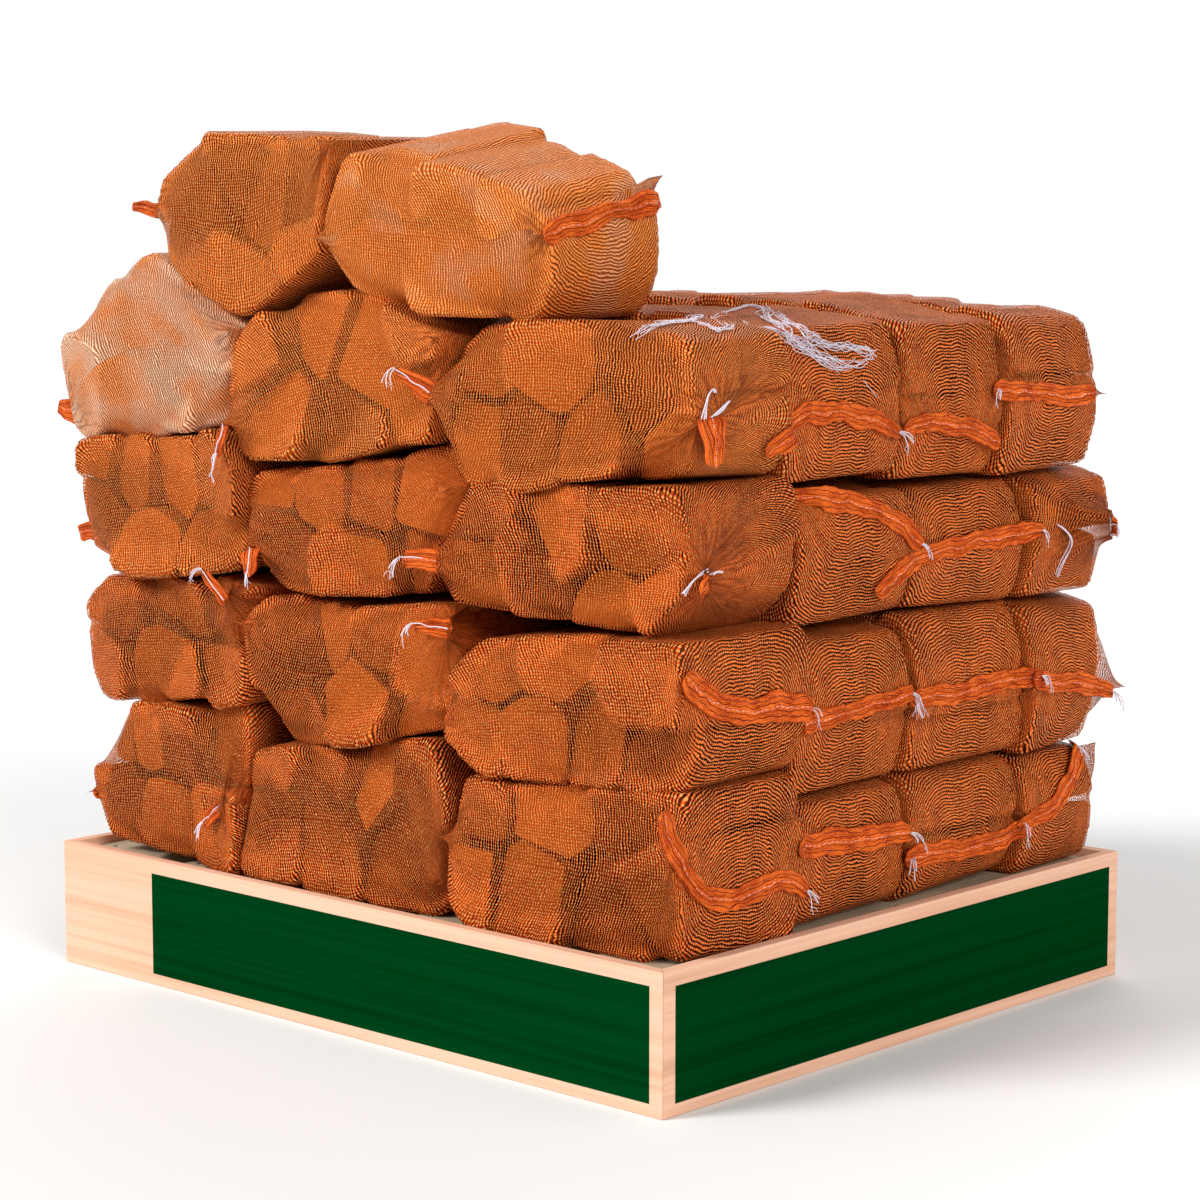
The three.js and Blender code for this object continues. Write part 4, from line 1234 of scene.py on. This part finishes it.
for sack in sacks:
    sack.hems, sack.ears = [], []
    for direction, (kind, facts) in sack.closures.items():
        name = "hem_" + sack.name + ("_outer" if direction < 0 else "")
        if kind == "hem":
            rings = hem_rings(sack, facts, direction)
            sack.hems.append((direction, rings))
        elif kind == "ear":
            rings = ear_rings(facts, sack.key + direction)
            sack.ears.append(facts)
        else:
            continue
        place_mesh(name, tube_mesh(name, rings), [hem_orange], [sack.node])

# The strings: the white thread that sews a hem runs along each ear and hangs from its tip as a
# frayed tail. It leaves shorter tails at the ends of the other hems.
TWINE = 0.0008
THREAD = 0.0004
tones, apply = start_finish("twine_white")
lay = tones.node("TexCoord", out="Object").cloud(700.0, 2.0)
twine_white = apply({"Base Color": lay.step(0.3, 0.7).blend(paint("c8bccb"), paint("f4eef6")),
                     "Roughness": 0.5, "Specular IOR Level": 0.4})


def twine_mesh(name, runs, radius):
    """Round thread along each run of points, as one mesh."""
    curve = bpy.data.curves.new(name, "CURVE")
    curve.dimensions = "3D"
    curve.bevel_depth = radius
    curve.bevel_resolution = 1
    curve.use_fill_caps = True
    curve.resolution_u = 4
    for run in runs:
        spline = curve.splines.new("NURBS")
        spline.points.add(len(run) - 1)
        spline.order_u = min(4, len(run))
        spline.use_endpoint_u = True
        for point, place in zip(spline.points, run):
            point.co = (*place, 1)
    holder = bpy.data.objects.new(name, curve)
    mesh = bpy.data.meshes.new_from_object(holder)
    bpy.data.objects.remove(holder)
    bpy.data.curves.remove(curve)
    mesh.materials.clear()
    for face in mesh.polygons:
        face.use_smooth = True
    return mesh


def tail(start, way, length, key):
    """A thread that leaves a knot one way, bends over and hangs, with a kink or two."""
    run = [Vector(start)]
    heading = Vector(way).normalized()
    steps = 7
    for k in range(steps):
        stray = noise.noise_vector(Vector((key * 3.1, k * 0.9, length * 50)))
        heading = (heading + Vector((0, 0, -0.32)) + stray * 0.6).normalized()
        run.append(run[-1] + heading * length / steps)
    return run


def clump(start, way, length, key):
    """A few threads that hang together from a knot, and finer ends that spread from them."""
    strands = []
    for k in range(4):
        stray = noise.noise_vector(Vector((key * 1.7, k * 2.3, 0.5)))
        strands.append(tail(Vector(start) + stray * 0.003, Vector(way) + stray * 0.5,
                            length * (0.7 + 0.5 * draw(key, k, 44)), key + k * 0.13))
    end = strands[0][-1]
    ends = [tail(end, end - strands[0][-2] + noise.noise_vector(Vector((key, k, 0.5))) * 0.01,
                 0.006 + 0.010 * draw(key, k, 45), key + k) for k in range(3)]
    return strands, ends


def laid(points, stand):
    """Points of a thread, put on the nets under them, on the side that the view shows."""
    run = []
    for spot in points:
        near, normal, *_ = netting.find_nearest(Vector(spot))
        run.append(near - normal * math.copysign(stand, normal.dot(LOOK)))
    return run


THREAD_LOOPS = [
    [(0.632, -0.462, 0.883), (0.620, -0.443, 0.913), (0.620, -0.428, 0.925), (0.621, -0.425, 0.912)],
    [(0.624, -0.436, 0.884), (0.624, -0.405, 0.901), (0.623, -0.395, 0.907), (0.626, -0.419, 0.891),
     (0.624, -0.440, 0.882)],
    [(0.606, -0.469, 0.664), (0.612, -0.462, 0.680), (0.617, -0.449, 0.690), (0.617, -0.435, 0.693)],
    [(0.617, -0.425, 0.684), (0.617, -0.418, 0.690), (0.617, -0.408, 0.688)],
    [(0.610, 0.351, 0.696), (0.616, 0.371, 0.688), (0.616, 0.389, 0.665), (0.601, 0.374, 0.643),
     (0.590, 0.382, 0.619)],
]
LOOP_STAND = 0.007
LOOP_THREAD = 0.0008
LOOP_STRAY = 0.006

loops = [[Vector(p) - LOOK * LOOP_STAND + noise.noise_vector(Vector(p) * 60 + Vector((0, 0, k))) * LOOP_STRAY
          for p in points] for points in THREAD_LOOPS for k in range(3)]
place_mesh("string_loops", twine_mesh("string_loops", loops, LOOP_THREAD), [twine_white])
threads = []
twine = []
for sack in sacks:
    for ear in sack.ears:
        if sack.column == 0 and ear.direction < 0 or ear.face[0] > 0.5:
            continue
        lift = ear.face * (0.0035 * ear.thickness / 0.010 + 0.002)
        share = np.linspace(0.05, 1.0, 7)[:, None]
        stray = np.array([noise.noise_vector(Vector((sack.key, k * 0.8, 0))) for k in range(7)])
        line = ear.root + ear.way * ear.length * share + lift + stray * 0.004
        twine.append([Vector(p) for p in line])
        way = Vector(ear.way) * 0.7 + Vector(ear.face) * 0.5 + Vector((0, 0, -0.2))
        strands, ends = clump(line[-1], way, 0.018 + 0.014 * draw(sack.key, 41), sack.key)
        twine += strands
        threads += ends
    for direction, rings in sack.hems:
        for end in (2, -3):
            if draw(sack.key, end, 42) < 0.6:
                knot = Vector(rings[end].mean(axis=0)) + Vector((direction * 0.005, 0, 0))
                way = (direction * 0.6, 0.5 * (1 if end < 0 else -1), -0.1)
                strands, ends = clump(knot, way, 0.014 + 0.014 * draw(sack.key, end, 43),
                                      sack.key + end)
                twine += strands
                threads += ends
place_mesh("string_ties", twine_mesh("string_ties", twine, TWINE), [twine_white])
place_mesh("string_frays", twine_mesh("string_frays", threads, THREAD), [twine_white])

# Loose threads: a tangle of fine white thread that lies across the top layer, caught on the
# net. Most of it runs in a loose bundle over the shoulder of the second row.
THREAD_LINES = [
    (12, 0.010, [(0.513, -0.470, 0.975), (0.515, -0.435, 0.990), (0.500, -0.380, 0.998),
                 (0.498, -0.334, 1.000), (0.470, -0.280, 1.003), (0.450, -0.225, 1.003)]),
    (7, 0.008, [(0.498, -0.334, 1.000), (0.540, -0.350, 0.993), (0.580, -0.375, 0.987),
                (0.570, -0.340, 0.989), (0.518, -0.293, 0.999)]),
    (9, 0.010, [(0.450, -0.225, 1.003), (0.420, -0.150, 1.006), (0.380, -0.070, 1.014),
                (0.440, -0.110, 1.008), (0.493, -0.175, 1.000), (0.569, -0.225, 0.981),
                (0.576, -0.190, 0.967), (0.582, -0.160, 0.950), (0.585, -0.125, 0.943),
                (0.585, -0.080, 0.945)]),
    (9, 0.010, [(0.340, 0.010, 1.019), (0.445, -0.090, 1.008), (0.535, -0.180, 0.995),
                (0.570, -0.188, 0.980), (0.576, -0.155, 0.968), (0.578, -0.110, 0.963),
                (0.580, -0.070, 0.960), (0.585, -0.055, 0.948)]),
    (7, 0.009, [(0.461, -0.200, 1.002), (0.540, -0.270, 0.993), (0.571, -0.229, 0.978),
                (0.577, -0.205, 0.962), (0.583, -0.175, 0.946), (0.587, -0.133, 0.937),
                (0.588, -0.085, 0.936)]),
    (3, 0.008, [(0.590, -0.110, 0.935), (0.588, -0.080, 0.945), (0.585, -0.058, 0.955),
                (0.582, -0.080, 0.962)]),
    (1, 0.001, [(0.592, -0.091, 0.920), (0.593, -0.057, 0.892)]),
]
THREAD_STAND = 0.0025

runs = []
for line, (count, loose, points) in enumerate(THREAD_LINES):
    points = np.array(points)
    for k in range(count):
        start = 0.25 * draw(line, k, 51)
        finish = 1 - 0.2 * draw(line, k, 52)
        share = np.linspace(start, finish, 4 * len(points)) * (len(points) - 1)
        path = np.stack([np.interp(share, np.arange(len(points)), points[:, i])
                         for i in range(3)], axis=1)
        stray = [noise.noise_vector(Vector((i * 0.22, k * 1.7, line * 3.3))) * loose * 1.8
                 for i in range(len(path))]
        runs.append(laid([Vector(p) + s for p, s in zip(path, stray)],
                         THREAD_STAND * (0.5 + draw(line, k, 54))))
place_mesh("loose_threads", twine_mesh("loose_threads", runs, THREAD * 1.25), [twine_white])
